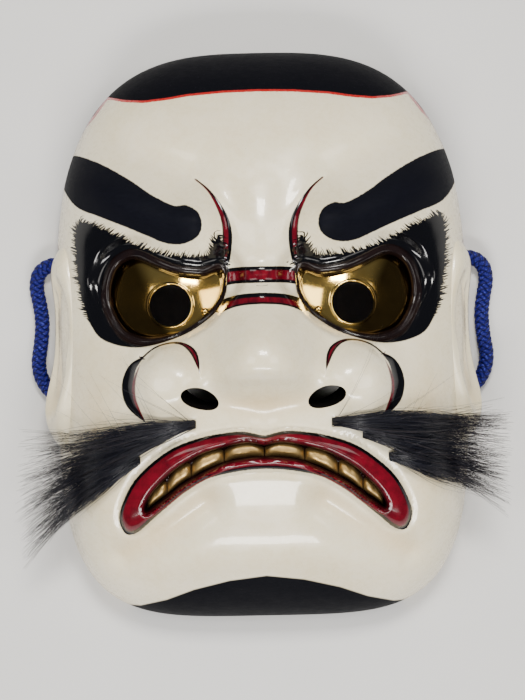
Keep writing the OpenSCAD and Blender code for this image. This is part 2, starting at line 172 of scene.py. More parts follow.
def stroke(x, y, line, half):
    """Signed offset from an open line, and the stroke's half width there, less what lies past its ends."""
    best = np.full(np.shape(x), 1e9)
    off, wide = np.zeros(np.shape(x)), np.zeros(np.shape(x))
    seg = np.hypot(*np.diff(line, axis=0).T)
    run = 0.0
    for k in range(len(seg)):
        (ax, ay), (dx, dy) = line[k], (line[k + 1] - line[k]) / seg[k]
        raw = (x - ax) * dx + (y - ay) * dy
        t = np.clip(raw, 0, seg[k])
        d = np.hypot(x - ax - t * dx, y - ay - t * dy)
        past = np.maximum(0, -raw) * (k == 0) + np.maximum(0, raw - seg[k]) * (k == len(seg) - 1)
        cross = dx * (y - ay) - dy * (x - ax)
        near = d < best
        best = np.where(near, d, best)
        off = np.where(near, np.where(past > 0, cross, np.where(cross < 0, -d, d)), off)
        wide = np.where(near, half((run + t) / seg.sum()) - 0.5 * past, wide)
        run += seg[k]
    return off, np.where(best - wide > 1.2, -3, wide)


def nearest(strokes):
    """The stroke that each point is deepest in."""
    off, wide = strokes[0]
    for o, w in strokes[1:]:
        closer = np.abs(o) - w < np.abs(off) - wide
        off, wide = np.where(closer, o, off), np.where(closer, w, wide)
    return off, wide


def ridge(x, y, points, w):
    return np.exp(-((line_distance(x, y, np.array(points, float))[0] / w) ** 2))


def resample(p, step):
    """Points evenly along a curve through p, and the length run to each."""
    p = spline(p, False, 6)
    s = run_along(p)
    t = np.linspace(0, s[-1], max(2, int(s[-1] / step)) + 1)
    return np.stack([np.interp(t, s, p[:, k]) for k in range(3)], -1), t


def resample_loop(loop, n):
    """n points evenly along a closed outline."""
    p = np.vstack([loop, loop[:1]])
    s = run_along(p)
    at = np.linspace(0, s[-1], n, endpoint=False)
    return np.column_stack([np.interp(at, s, p[:, 0]), np.interp(at, s, p[:, 1])])


def outward(loop):
    """Unit vectors out of a closed outline of even steps."""
    ahead = np.roll(loop, -2, axis=0) - np.roll(loop, 2, axis=0)
    out = np.column_stack([ahead[:, 1], -ahead[:, 0]]) / np.hypot(*ahead.T)[:, None]
    return -out if loop_distance(*(loop[:1] + out[:1]).T, loop)[0][0] < 0 else out


def anticlockwise(loop):
    x, y = loop.T
    return np.sum(x * np.roll(y, -1) - np.roll(x, -1) * y) > 0


def blur_weights(n, width):
    """Weights that smooth values round a closed outline of n even steps."""
    k = np.arange(n)
    gap = np.abs(k[:, None] - k)
    return np.exp(-((np.minimum(gap, n - gap) / width) ** 2))


# ---- outlines, as seen from the front
BROW = spline(
    [(70, 68.2), (73.4, 63), (73.6, 56.4), (68.8, 49), (60, 45), (50, 40.9), (42.5, 37.6), (35.2, 34.6),
     (28.6, 34.4), (23.4, 37.2), (21.8, 41.6), (23.4, 46.4), (27.8, 48.9), (32.3, 48.8), (40.5, 53),
     (48.9, 58.9), (60, 65.2)]
)
SURROUND = spline(
    [(67.9, 42.4), (69, 32), (68, 21.4), (66, 10.4), (62, 1.1), (55.4, -2.8), (46.7, -4.1), (38, -2.6),
     (29, 0.7), (18.4, 7.5), (13.6, 15), (13, 22), (13.6, 29), (15.4, 36.4), (17.4, 33), (20, 29.6),
     (25.3, 28.9), (33, 29.4), (39.4, 30.8), (47, 33.8), (54, 37.2), (61, 40.8)]
)
EYE = [(15.0, 24), (22, 21.9), (31.5, 23), (39.4, 26), (46.9, 29.4), (51.8, 28.6), (55.2, 25),
       (57.2, 18.6), (56.9, 12.2), (53.8, 5.4), (49.3, 1), (41, -0.7), (31, 1), (23.6, 5), (17.4, 11.2),
       (14.4, 18.2)]
LIPS = spline(
    mirrored(
        [(0, -38), (4.6, -37), (10, -36.4), (21.6, -37.9), (33.2, -41.6), (41.6, -47), (48.7, -53.7),
         (52.9, -60.8), (55, -67.9), (52.8, -73.8), (48.3, -73.6), (42.4, -68.8), (35.3, -62.9),
         (28.6, -57.9), (20.7, -53.7), (10.2, -51.4), (0, -50.6)]
    ),
    n=5,
)
GAP = spline(
    mirrored(
        [(0, -41.2), (3, -40.6), (7, -40.2), (13.5, -41.2), (21.7, -43.4), (27.4, -46), (33.9, -50),
         (39.4, -55), (43.4, -59.6), (46, -64.6), (45, -66.8), (40.4, -63.8), (36.3, -60.8), (32, -57.2),
         (25.7, -53.4), (18.4, -49.8), (11.9, -47.5), (4.6, -46.4), (0, -46.4)]
    ),
    n=5,
)
SIDEBURN = spline([(79.5, 52), (78.6, 44), (77, 37.6), (75.4, 30), (74.6, 21.5)], False, 5)
HAIR = mirrored(
    [(0, 91.8), (13, 91.5), (26, 90.5), (35, 89.1), (43, 88.3), (50, 88.7), (56.6, 90), (61.7, 83),
     (67.5, 76.7), (71, 72), (95, 60), (95, 140), (0, 140)]
)
CHIN = mirrored(
    [(0, -90.6), (14, -92.2), (27.4, -95.3), (37.8, -98.9), (47.5, -100.8), (55, -100.1), (62, -97),
     (100, -97), (100, -150), (0, -150)]
)
CREASE = spline(
    [(23.8, 58.5), (19.4, 54.6), (16, 49.5), (13.4, 44), (12.4, 38.6), (12.6, 33), (13.4, 28)], False, 5
)
WING_MID = spline(
    [(44.6, -7.8), (48.4, -11), (50.4, -15.6), (50.8, -20.4), (49.4, -25.8), (44.6, -32)], False, 5
)
WING_RED = spline([(46, -10.6), (47.8, -15), (48.6, -19.6), (48, -24.4), (45, -31.4)], False, 5)
WING_LINE = spline(
    [(46, -9), (41.4, -5), (36.4, -3), (31.4, -2.8), (27.6, -4.6), (25.2, -8), (23.6, -14.4)], False, 5
)
ROLLS = [spline([(0, 22.3), (8, 22.2), (13, 21.6), (16.4, 20.4)], False, 5),
         spline([(0, 13.4), (7, 13.0), (12, 11.9), (16.2, 10.2)], False, 5)]
CHEEK_FOLD = [(22, -61), (34, -70), (52, -80)]
# heights at which the outlines above lie on the face
BROW_Z, EYE_Z, MOUTH_Z, WING_Z, NOSE_Z = 52.0, 44.0, 52.0, 50.0, 58.0
EYE_REAL = spline(real(EYE, EYE_Z))
LIPS_REAL = real(LIPS, MOUTH_Z)
GAP_REAL = real(GAP, MOUTH_Z - 3)
CREASE_REAL = real(CREASE, BROW_Z)
WING_REAL = real([(43, -6), (48.4, -11), (50.4, -19), (48.6, -26), (43.6, -31)], WING_Z)
WING_LINE_REAL = real(WING_LINE, NOSE_Z)


# ---- the carved face
# height, centre x and y, spread along x and y
HILLS = [
    (2.5, 0, 66, 40, 26), (2.0, 25, 40, 8, 8), (3.0, 0, 40, 9, 16), (-7.0, 0, 18, 18, 12),
    (9.0, 0, 14, 11, 16), (7.5, 0, -44, 44, 22), (-1.4, 0, -31, 4.5, 6), (4.0, 52, -22, 18, 18),
    (6.5, 0, -80, 42, 17), (5.0, 62, -62, 14, 26),
]


def side_n(s):
    return N_TOP + (N_JAW - N_TOP) * smooth(0.3, -0.6, s)


def dome(x, y, hw, hh, d):
    n = side_n((y / hh) / np.maximum(1e-6, np.hypot(x / hw, y / hh)))
    r = (np.abs(x / hw) ** n + np.abs(y / hh) ** n) ** (1 / n)
    return d * np.maximum(0, 1 - r**DOME_E) ** (1 / DOME_E)


def ball_z(x, y):
    return BALL[2] + np.sqrt(np.maximum(1, EYE_R**2 - (x - BALL[0]) ** 2 - (y - BALL[1]) ** 2))


def carved(x, y):
    """Brows, nose, muzzle, cheeks and chin, added to the dome. x is the distance from the centre line."""
    z = sum(h * hill(x, y, *at) for h, *at in HILLS)
    z = z + 7.5 * ridge(x, y, [(24, 40), (34, 42), (48, 48), (62, 55), (70, 58)], 9.5)
    z = z - 2.2 * ridge(x, y, [(26, 60), (40, 66), (58, 76)], 7)
    z = z - 4.0 * ridge(x, y, CHEEK_FOLD, 6.5)
    # the tip of the nose and its wings
    sy = np.where(y > -11, 17.0, 10.5)
    z = z + 21.0 * np.exp(-np.abs(x / 19) ** 2.6 - np.abs((y + 11) / sy) ** 2.2)
    z = z + 11.0 * np.exp(-((np.hypot(x - 34.5, (y + 17) / 1.05) / 12.5) ** 3.2))
    # rolls across the bridge, grooves round the wings
    for cy in (22.6, 14.6):
        z = z + 1.7 * np.exp(-(((y - cy + 0.006 * x * x) / 2.5) ** 2)) * smooth(16, 12, x)
    z = z - 1.5 * ridge(x, y, WING_LINE_REAL, 1.5) - 1.1 * ridge(x, y, WING_REAL, 2.4)
    d, t = line_distance(x, y, CREASE_REAL)
    z = z - (0.8 + 1.6 * t) * np.exp(-((d / (1.4 + 1.4 * t)) ** 2))
    return z


def face_z(x, y):
    ax = np.abs(x)
    z0 = dome(ax, y, HALF_W, HALF_H, DOME)
    c = np.clip(z0 / DOME, 0, 1) ** (DOME_E / 2)
    z = z0 + carved(ax, y) * (1 - (1 - c) ** 3)
    # the lids follow the eyeball, higher above it
    d = loop_distance(ax, y, EYE_REAL)[0]
    top = smooth(6, 22, y)
    lid = 1.0 + 2.4 * top
    w = smooth(0, 1, np.clip(d / (4.5 + 5.0 * top), 0, 1))
    z = np.where(ax < 70, (ball_z(ax, y) + lid) * (1 - w) + z * w, z)
    z = z + (0.5 + 1.0 * top) * np.exp(-(((d - 2.4) / 1.3) ** 2))
    z = z - (lid + 1.9) * smooth(1.3, 0.1, d) * (d < 2)
    # lips and the slot behind them
    d = loop_distance(x, y, LIPS_REAL)[0]
    z = z + 2.8 * np.sqrt(np.clip((0.6 - d) / 3.4, 0, 1)) * (d < 0.6)
    z = z - 0.7 * np.exp(-(((d - 1.2) / 1.2) ** 2))
    d = loop_distance(x, y, GAP_REAL)[0]
    z = z - 8.5 * smooth(0.7, -0.9, d)
    return z


def hollow_z(x, y):
    ax = np.abs(x)
    d = dome(ax, y, HALF_W - WALL, HALF_H - WALL, DOME - 10)
    c = np.clip(d / (DOME - 10), 0, 1) ** (DOME_E / 2)
    return d + (1 - (1 - c) ** 3) * (
        12.6 * hill(ax, y, 0, -8, 20, 15)
        + 4 * hill(ax, y, 0, -44, 34, 20)
        - 3 * hill(ax, y, 50, 14, 14, 18)
        - 3.5 * hill(ax, y, 46, -66, 14, 14)
    )


def arch_z(y):
    """Height of the rim over its plane: a low arch on each side for the cord."""
    return np.maximum(0, np.sqrt(np.maximum(0, ARCH_R**2 - (y + ARCH_Y) ** 2)) - ARCH_DOWN)


def face_grid(m, n, hw, hh):
    a, b = np.meshgrid(np.linspace(-1, 1, m + 1), np.linspace(-1, 1, n + 1), indexing="ij")
    u, v = a * np.sqrt(1 - b * b / 2), b * np.sqrt(1 - a * a / 2)
    s = np.hypot(u, v)
    u, v = np.where(s > 0, u / np.maximum(s, 1e-9), 1), v / np.maximum(s, 1e-9)
    p = side_n(v)
    r = 1 / (np.abs(u) ** p + np.abs(v) ** p) ** (1 / p)
    rho = 1 - (1 - np.minimum(s, 1)) ** 1.4
    return hw * rho * r * u, hh * rho * r * v


def border(m, n):
    w = n + 1
    return (
        [i * w for i in range(m)]
        + [m * w + j for j in range(n)]
        + [i * w + n for i in range(m, 0, -1)]
        + list(range(n, 0, -1))
    )


def quads(m, n, k=0, flip=False):
    a = (np.arange(m)[:, None] * (n + 1) + np.arange(n)[None, :]).ravel() + k
    q = np.stack([a, a + n + 1, a + n + 2, a + 1], -1)
    return q[:, ::-1] if flip else q


def ring_quads(rows, n):
    """Faces between rows of n points, each row closed on itself."""
    i, j = np.meshgrid(np.arange(rows - 1), np.arange(n), indexing="ij")
    after = (j + 1) % n
    return np.stack([i * n + j, (i + 1) * n + j, (i + 1) * n + after, i * n + after], -1).reshape(-1, 4)


# ---- making meshes
def mesh_object(name, verts, faces, material=None):
    """verts in mm."""
    me = bpy.data.meshes.new(name)
    faces = [list(map(int, f)) for f in faces] if not isinstance(faces, np.ndarray) else faces.tolist()
    me.from_pydata((np.asarray(verts, float) * MM).tolist(), [], faces)
    me.polygons.foreach_set("use_smooth", [True] * len(me.polygons))
    me.update()
    ob = bpy.data.objects.new(name, me)
    bpy.context.scene.collection.objects.link(ob)
    if material:
        me.materials.append(material)
    return ob


def floats(ob, name, values):
    ob.data.attributes.new(name, "FLOAT", "POINT").data.foreach_set("value", np.asarray(values, np.float32))


def coords(ob):
    v = np.empty(len(ob.data.vertices) * 3)
    ob.data.vertices.foreach_get("co", v)
    return v.reshape(-1, 3) / MM


# ---- making materials
class Mat:
    def __init__(self, name):
        self.mat = bpy.data.materials.new(name)
        self.mat.use_nodes = True
        self.nodes, self.links = self.mat.node_tree.nodes, self.mat.node_tree.links
        self.bsdf = self.nodes["Principled BSDF"]

    def plug(self, socket, value):
        if isinstance(value, bpy.types.NodeSocket):
            self.links.new(value, socket)
        elif isinstance(value, (tuple, list)) and socket.type == "RGBA":
            socket.default_value = (*value[:3], 1)
        else:
            socket.default_value = value

    def add(self, kind, out=0, ins=(), **props):
        node = self.nodes.new("ShaderNode" + kind)
        for k, v in props.items():
            setattr(node, k, v)
        for k, v in dict(ins).items():
            self.plug(node.inputs[k], v)
        return node.outputs[out]

    def math(self, op, a, b=0.0, c=0.0):
        return self.add("Math", ins={0: a, 1: b, 2: c}, operation=op)

    def plus(self, a, b):
        return self.math("ADD", a, b)

    def minus(self, a, b):
        return self.math("SUBTRACT", a, b)

    def times(self, a, b):
        return self.math("MULTIPLY", a, b)

    def most(self, a, b):
        return self.math("MAXIMUM", a, b)

    def size(self, a):
        return self.math("ABSOLUTE", a)

    def attr(self, name):
        return self.add("Attribute", "Fac", attribute_name=name)

    def place(self, scale=(1, 1, 1)):
        """Object coordinates in mm times scale."""
        v = self.add("TexCoord", "Object")
        return self.add("Mapping", ins={0: v, 3: tuple(1000 * s for s in scale)})

    def noise(self, scale, detail=3.0, rough=0.55, at=None, distortion=0.0):
        """Noise of about one feature every 1/scale mm, 0 to 1."""
        return self.add(
            "TexNoise", "Fac",
            {"Vector": at or self.place(), "Scale": scale, "Detail": detail, "Roughness": rough,
             "Distortion": distortion},
        )

    def ramp(self, v, lo, hi, a=0.0, b=1.0):
        """Goes from a where v is lo to b where it is hi."""
        node = self.nodes.new("ShaderNodeMapRange")
        for k, x in enumerate((v, lo, hi, a, b)):
            self.plug(node.inputs[k], x)
        return node.outputs[0]

    def mix(self, f, a, b):
        """Colour a where f is 0 and b where it is 1."""
        node = self.nodes.new("ShaderNodeMix")
        node.data_type = "RGBA"
        self.plug(node.inputs[0], f)
        self.plug(node.inputs[6], a)
        self.plug(node.inputs[7], b)
        return node.outputs[2]

    def blend(self, f, a, b):
        """Number a where f is 0 and b where it is 1."""
        node = self.nodes.new("ShaderNodeMix")
        self.plug(node.inputs[0], f)
        self.plug(node.inputs[2], a)
        self.plug(node.inputs[3], b)
        return node.outputs[0]

    def bump(self, height, distance, normal=None):
        ins = {"Height": height, "Distance": distance * MM}
        if normal is not None:
            ins["Normal"] = normal
        return self.add("Bump", ins=ins)

    def set(self, **values):
        for k, v in values.items():
            self.plug(self.bsdf.inputs[k.replace("_", " ")], v)
        return self.mat


IVORY, OLD_IVORY, SPECK = (0.80, 0.72, 0.525), (0.72, 0.625, 0.41), (0.30, 0.22, 0.13)
DEEP_RED, DARK_RED = (0.130, 0.003, 0.010), (0.055, 0.0015, 0.005)


def lacquer():
    m = Mat("lacquer")
    edge = m.noise(1.2, 2)
    wobble = m.math("MULTIPLY_ADD", edge, 0.5, -0.25)

    def inside(d, soft=0.16, waver=wobble):
        return m.ramp(m.plus(d, waver), -soft, soft, 1, 0)

    # ivory ground: faint yellowing in clouds, a few specks and worn spots
    cloud = m.noise(0.03, 3, 0.6)
    fine = m.noise(0.35, 4, 0.65)
    col = m.mix(m.ramp(cloud, 0.35, 0.7), IVORY, OLD_IVORY)
    col = m.mix(m.ramp(fine, 0.45, 0.8, 0, 0.35), col, (0.80, 0.755, 0.63))
    # yellowing and painted shade: a darker ochre under the nose, in the folds and down the sides
    col = m.mix(m.times(m.attr("yellowing_and_shade"), m.ramp(cloud, 0.3, 0.7, 0.8, 1)), col, (0.66, 0.50, 0.26))
    specks = m.ramp(m.noise(1.6, 2, 0.5), 0.74, 0.79)
    col = m.mix(m.times(specks, 0.55), col, SPECK)
    rough = m.ramp(fine, 0.3, 0.8, 0.24, 0.34)

    # strokes
    red, dark_red = (0.125, 0.003, 0.010), (0.042, 0.0015, 0.005)
    black, satin = (0.002, 0.002, 0.003), (0.0018, 0.002, 0.004)
    crisp = m.times(wobble, 0.35)
    black_in = inside(m.minus(m.size(m.attr("black_off")), m.attr("black_half")), 0.13, crisp)
    col = m.mix(black_in, col, black)
    red_in = inside(m.minus(m.size(m.attr("red_off")), m.attr("red_half")), 0.2, crisp)
    streak = m.noise(0.5, 3, 0.6, m.place((1, 0.35, 1)))
    col = m.mix(red_in, col, m.mix(m.ramp(streak, 0.35, 0.7), red, dark_red))
    # furry edge of the eye surround: brush hairs stand off its upper and outer edges
    d, s = m.attr("eye_edge"), m.attr("eye_along")
    at = m.add("CombineXYZ", ins={0: m.math("MULTIPLY_ADD", d, 0.45, s), 1: m.times(d, 0.10)})
    hairs = m.add("TexNoise", "Fac", {"Vector": at, "Scale": 2.1, "Detail": 2.5, "Roughness": 0.6})
    tall = m.times(m.attr("eye_fur"), m.ramp(hairs, 0.38, 0.68, 0, 1))
    eye_in = m.ramp(m.minus(d, tall), -0.12, 0.22, 1, 0)
    col = m.mix(eye_in, col, black)
    brow_in = inside(m.attr("brow_edge"))
    brush = m.noise(1.1, 3, 0.7, m.place((0.3, 1, 1)))
    col = m.mix(brow_in, col, m.mix(brush, satin, (0.0045, 0.005, 0.009)))
    # hair, its fine red line, and the beard
    hair = m.attr("hair_edge")
    hair_in = m.ramp(m.plus(hair, m.times(wobble, 0.6)), -0.1, 0.1, 1, 0)
    line_off = m.size(m.plus(m.minus(hair, 0.35), m.times(wobble, 0.6)))
    line_in = m.ramp(line_off, 0.38, 0.6, 1, 0)
    col = m.mix(line_in, col, (0.42, 0.010, 0.008))
    chin_in = m.ramp(m.attr("chin_edge"), -0.25, 0.25, 1, 0)
    caps = m.most(hair_in, chin_in)
    lint = m.ramp(m.noise(2.6, 2, 0.5), 0.66, 0.74)
    col = m.mix(caps, col, m.mix(m.times(lint, 0.35), satin, (0.05, 0.05, 0.06)))
    # lips: black outline, deep red with darker streaks
    lip, gap = m.attr("lip_edge"), m.attr("gap_edge")
    lip_out = inside(lip, 0.14)
    lip_red = inside(m.plus(lip, 1.25), 0.2)
    lip_streak = m.noise(0.22, 4, 0.65)
    lip_col = m.mix(m.ramp(lip_streak, 0.35, 0.72), DEEP_RED, DARK_RED)
    # painted shade: the lips darken to near black towards the slot's edge
    lip_col = m.mix(m.ramp(gap, 0.2, 0.9, 1, 0), lip_col, (0.02, 0.002, 0.003))
    col = m.mix(lip_out, col, black)
    col = m.mix(lip_red, col, lip_col)
    # painted shade: the recessed slot floor a near-black dark red
    gap_in = inside(gap, 0.2)
    col = m.mix(gap_in, col, (0.012, 0.003, 0.003))

    glossy = m.most(m.most(eye_in, lip_out), m.most(red_in, black_in))
    rough = m.blend(glossy, rough, 0.13)
    rough = m.blend(m.most(caps, brow_in), rough, m.ramp(brush, 0.3, 0.7, 0.52, 0.66))
    wave = m.bump(m.noise(0.055, 2, 0.5), 0.55)
    orange = m.bump(m.noise(0.9, 3, 0.6), 0.007, normal=wave)
    paint = m.bump(m.times(caps, m.noise(1.4, 3, 0.7, m.place((1, 0.25, 1)))), 0.04, normal=orange)
    matt = m.most(caps, brow_in)
    matt = m.most(matt, m.ramp(gap, 0.2, 1.1, 1, 0))
    matt = m.most(matt, m.times(glossy, 0.55))
    coat = m.blend(matt, 0.5, 0.0)
    return m.set(
        Base_Color=col, Roughness=rough, Normal=paint, Coat_Weight=coat, Coat_Roughness=0.06,
        Specular_IOR_Level=m.blend(matt, 0.45, 0.05),
    )


def wood():
    """The unpainted inside: brown wood under a thin stain, with shallow gouge marks."""
    m = Mat("hollow wood")
    at = m.place((1, 0.09, 1))
    grain = m.noise(0.55, 4, 0.6, at, 0.6)
    pores = m.noise(3.2, 2, 0.5, m.place((1, 0.05, 1)))
    col = m.mix(grain, (0.155, 0.072, 0.030), (0.33, 0.185, 0.085))
    col = m.mix(m.ramp(pores, 0.58, 0.75, 0, 0.6), col, (0.05, 0.022, 0.010))
    col = m.mix(m.ramp(m.noise(0.03, 3), 0.4, 0.7, 0, 0.55), col, (0.075, 0.034, 0.016))
    gouge = m.add(
        "TexVoronoi", "Distance",
        {"Vector": m.place((1, 0.42, 1)), "Scale": 0.16, "Smoothness": 0.35, "Randomness": 0.8},
        feature="SMOOTH_F1",
    )
    n = m.bump(gouge, 0.9)
    n = m.bump(grain, 0.10, normal=n)
    return m.set(Base_Color=col, Roughness=m.ramp(grain, 0.3, 0.7, 0.42, 0.62), Normal=n)


def black_paint_and_shade():
    # black paint on the nostril walls, darkened further as painted shade inside the holes
    m = Mat("nostril black")
    v = m.noise(0.5, 3)
    return m.set(
        Base_Color=m.mix(v, (0.0015, 0.001, 0.001), (0.004, 0.003, 0.003)),
        Roughness=m.ramp(v, 0.3, 0.7, 0.55, 0.75), Specular_IOR_Level=0.1, Normal=m.bump(m.noise(0.8), 0.05),
    )


def mirror_gold():
    m = Mat("mirror gilding")
    cloud, fine = m.noise(0.10, 3), m.noise(1.8, 3, 0.6)
    col = m.mix(m.ramp(cloud, 0.35, 0.7), (0.83, 0.56, 0.155), (0.72, 0.44, 0.10))
    spots = m.ramp(m.noise(0.85, 3, 0.55), 0.70, 0.78, 0, 0.75)
    col = m.mix(spots, col, (0.16, 0.085, 0.03))
    # painted shade: the outer part of the gilt plates dark brown, standing in for a dark reflection there
    col = m.mix(m.times(m.attr("plate_painted_shade"), m.ramp(cloud, 0.2, 0.7, 1, 0.86)), col, (0.065, 0.032, 0.009))
    col = m.mix(m.ramp(m.attr("plate_edge"), 0.0, 1.6, 0.8, 0), col, (0.10, 0.045, 0.012))
    rough = m.plus(m.ramp(fine, 0.3, 0.8, 0.08, 0.16), m.times(spots, 0.3))
    n = m.bump(m.noise(0.07, 2), 0.20)
    n = m.bump(fine, 0.004, normal=n)
    return m.set(Base_Color=col, Metallic=1.0, Roughness=rough, Normal=n)


def tooth_gold():
    m = Mat("antique gilding")
    cloud, fine = m.noise(0.16, 3), m.noise(1.5, 4, 0.65)
    col = m.mix(m.ramp(cloud, 0.3, 0.7), (0.60, 0.40, 0.15), (0.45, 0.29, 0.10))
    # painted shade: dark brown, less metallic, in the grooves between the teeth, along their edges at the
    # gum and the slot, and on the back
    deep = m.attr("tooth_groove")
    col = m.mix(m.times(deep, m.ramp(fine, 0.2, 0.7, 0.75, 1)), col, (0.055, 0.022, 0.010))
    worn = m.ramp(m.noise(0.7, 3, 0.6), 0.62, 0.72, 0, 0.6)
    col = m.mix(worn, col, (0.24, 0.13, 0.05))
    return m.set(
        Base_Color=col, Metallic=m.blend(deep, 0.85, 0.3), Roughness=m.ramp(fine, 0.3, 0.75, 0.34, 0.50),
        Normal=m.bump(fine, 0.04, normal=m.bump(cloud, 0.25)),
    )


def hair_mat():
    m = Mat("moustache hair")
    v = m.attr("strand")
    t = m.attr("along")
    col = m.mix(v, (0.002, 0.002, 0.005), (0.010, 0.011, 0.020))
    col = m.mix(m.times(m.ramp(v, 0.8, 0.95), m.ramp(t, 0.1, 0.9)), col, (0.05, 0.04, 0.04))
    return m.set(
        Base_Color=col, Roughness=m.ramp(v, 0, 1, 0.26, 0.4), Specular_IOR_Level=0.6,
        Normal=m.bump(m.noise(3.0, 2), 0.01),
    )


# the cords' braid: strands each way round the cord, and mm along it from one crossing to the next
STRANDS, PITCH = 4, 2.3


def braid():
    """Two sets of flat strands that cross: u is the mm along the cord, v goes from 0 to 1 round it."""
    m = Mat("braided cord")
    uv = m.add("UVMap", uv_map="UVMap")
    sep = m.nodes.new("ShaderNodeSeparateXYZ")
    m.links.new(uv, sep.inputs[0])
    u, v = sep.outputs[0], sep.outputs[1]
    a = m.plus(m.times(u, 1 / PITCH), m.times(v, STRANDS))
    b = m.minus(m.times(u, 1 / PITCH), m.times(v, STRANDS))
    wave_a = m.size(m.math("SINE", m.times(a, math.pi)))
    wave_b = m.size(m.math("SINE", m.times(b, math.pi)))
    crossing = m.size(m.plus(m.math("FLOOR", a), m.math("FLOOR", b)))
    over = m.math("GREATER_THAN", m.math("MODULO", crossing, 2), 0.5)
    h = m.blend(over, wave_a, wave_b)
    thread = m.blend(over, m.math("SINE", m.times(b, 22)), m.math("SINE", m.times(a, 22)))
    height = m.plus(h, m.times(thread, 0.10))
    # painted shade: each strand darker towards its edges, in the grooves between strands
    col = m.mix(m.ramp(h, 0.05, 0.75), (0.0008, 0.0008, 0.012), (0.004, 0.004, 0.115))
    fleck = m.noise(1.3, 2, 0.6)
    col = m.mix(m.times(m.ramp(fleck, 0.58, 0.64), m.ramp(h, 0.3, 0.8)), col, (0.04, 0.05, 0.32))
    return m.set(
        Base_Color=col, Roughness=m.ramp(fleck, 0.3, 0.7, 0.42, 0.6), Normal=m.bump(height, 0.45),
        Specular_IOR_Level=0.2,
    )


def rim_black():
    m = Mat("lid black")
    v = m.noise(0.25, 3)
    return m.set(
        Base_Color=m.mix(v, (0.002, 0.002, 0.003), (0.012, 0.005, 0.004)),
        Roughness=m.ramp(v, 0.3, 0.7, 0.16, 0.24), Specular_IOR_Level=0.3, Normal=m.bump(v, 0.12),
    )


def lip_red():
    m = Mat("lip red")
    col = m.mix(m.ramp(m.noise(0.22, 4, 0.65), 0.35, 0.72), DEEP_RED, DARK_RED)
    # painted shade: darker and duller down into the slot
    deep = m.attr("deep")
    col = m.mix(deep, col, (0.010, 0.001, 0.002))
    return m.set(
        Base_Color=col, Roughness=m.blend(deep, 0.2, 0.5), Specular_IOR_Level=m.blend(deep, 0.4, 0.1),
        Normal=m.bump(m.noise(0.9, 3, 0.6), 0.007),
    )


def ear_mat():
    m = Mat("ear lacquer")
    cloud, fine = m.noise(0.05, 3, 0.6), m.noise(0.35, 4, 0.65)
    col = m.mix(m.ramp(cloud, 0.35, 0.7), IVORY, OLD_IVORY)
    col = m.mix(m.ramp(m.noise(1.6, 2, 0.5), 0.74, 0.79, 0, 0.5), col, SPECK)
    col = m.mix(m.times(m.attr("ear_hollow"), m.ramp(fine, 0.3, 0.7, 0.1, 0.4)), col, (0.52, 0.36, 0.22))
    n = m.bump(fine, 0.03, normal=m.bump(m.noise(0.09, 2), 0.4))
    return m.set(
        Base_Color=col, Roughness=m.ramp(fine, 0.3, 0.8, 0.25, 0.36), Normal=n,
        Coat_Weight=0.5, Coat_Roughness=0.08,
    )


LACQUER, WOOD, BLACK, RIM, LIP = lacquer(), wood(), black_paint_and_shade(), rim_black(), lip_red()
GOLD, TOOTH, HAIRS, BRAID, EAR = mirror_gold(), tooth_gold(), hair_mat(), braid(), ear_mat()


# ---- cords, first of the pieces
CORD_D = 5.5
LIE = CORD_D / 2 + 0.35
COIL = (HALF_W - WALL - 35.65, -32.0, 8.0)
COIL_R, BUNDLE, LAY = 27.5, 13.4, 3.85
TURNS, STEPS = 4, 36
SHOWN = 90


def cord_route(side):
    """The cord's middle in mm: out of the bore, down beside the ear, under the rim and round the coil."""
    w = HALF_W
    route = [(w - 8.85, BORE_Y, 5.2), (w - 2, BORE_Y, 5.2), (w + 3, 27.2, 5), (w + 6.4, 24.2, 4.4),
             (w + 7.4, 19, LIE + 0.5), (w + 6.4, 13, LIE), (w + 5.6, 6, LIE), (w + 6.2, -2, LIE),
             (w + 7.2, -9, LIE), (w + 6.2, -15, LIE), (w + 3, -20, LIE), (w - 1.5, -22.8, LIE),
             (w - 5.6, -25.4, LIE + 0.7)]
    # the turns of the coil lie side by side in the bundle
    for k in range(5, 134):
        turn = k / STEPS
        a = -2 * math.pi * turn + 0.25
        spot = 2 * math.pi * (turn / TURNS) - 0.75
        r = COIL_R + LAY * math.cos(spot)
        z = COIL[2] + LAY * math.sin(spot)
        route.append((COIL[0] + r * math.cos(a), COIL[1] + r * math.sin(a), z))
    # the end leaves the bundle below and runs in to its knot
    for a, r, z in ((1.99, 27.6, 3.6), (1.82, 24.6, 3.2), (1.68, 21.2, 4.2), (1.57, 17.6, 5.2)):
        route.append((COIL[0] + r * math.cos(a), COIL[1] + r * math.sin(a), z))
    return np.array(route) * [side, 1, 1]


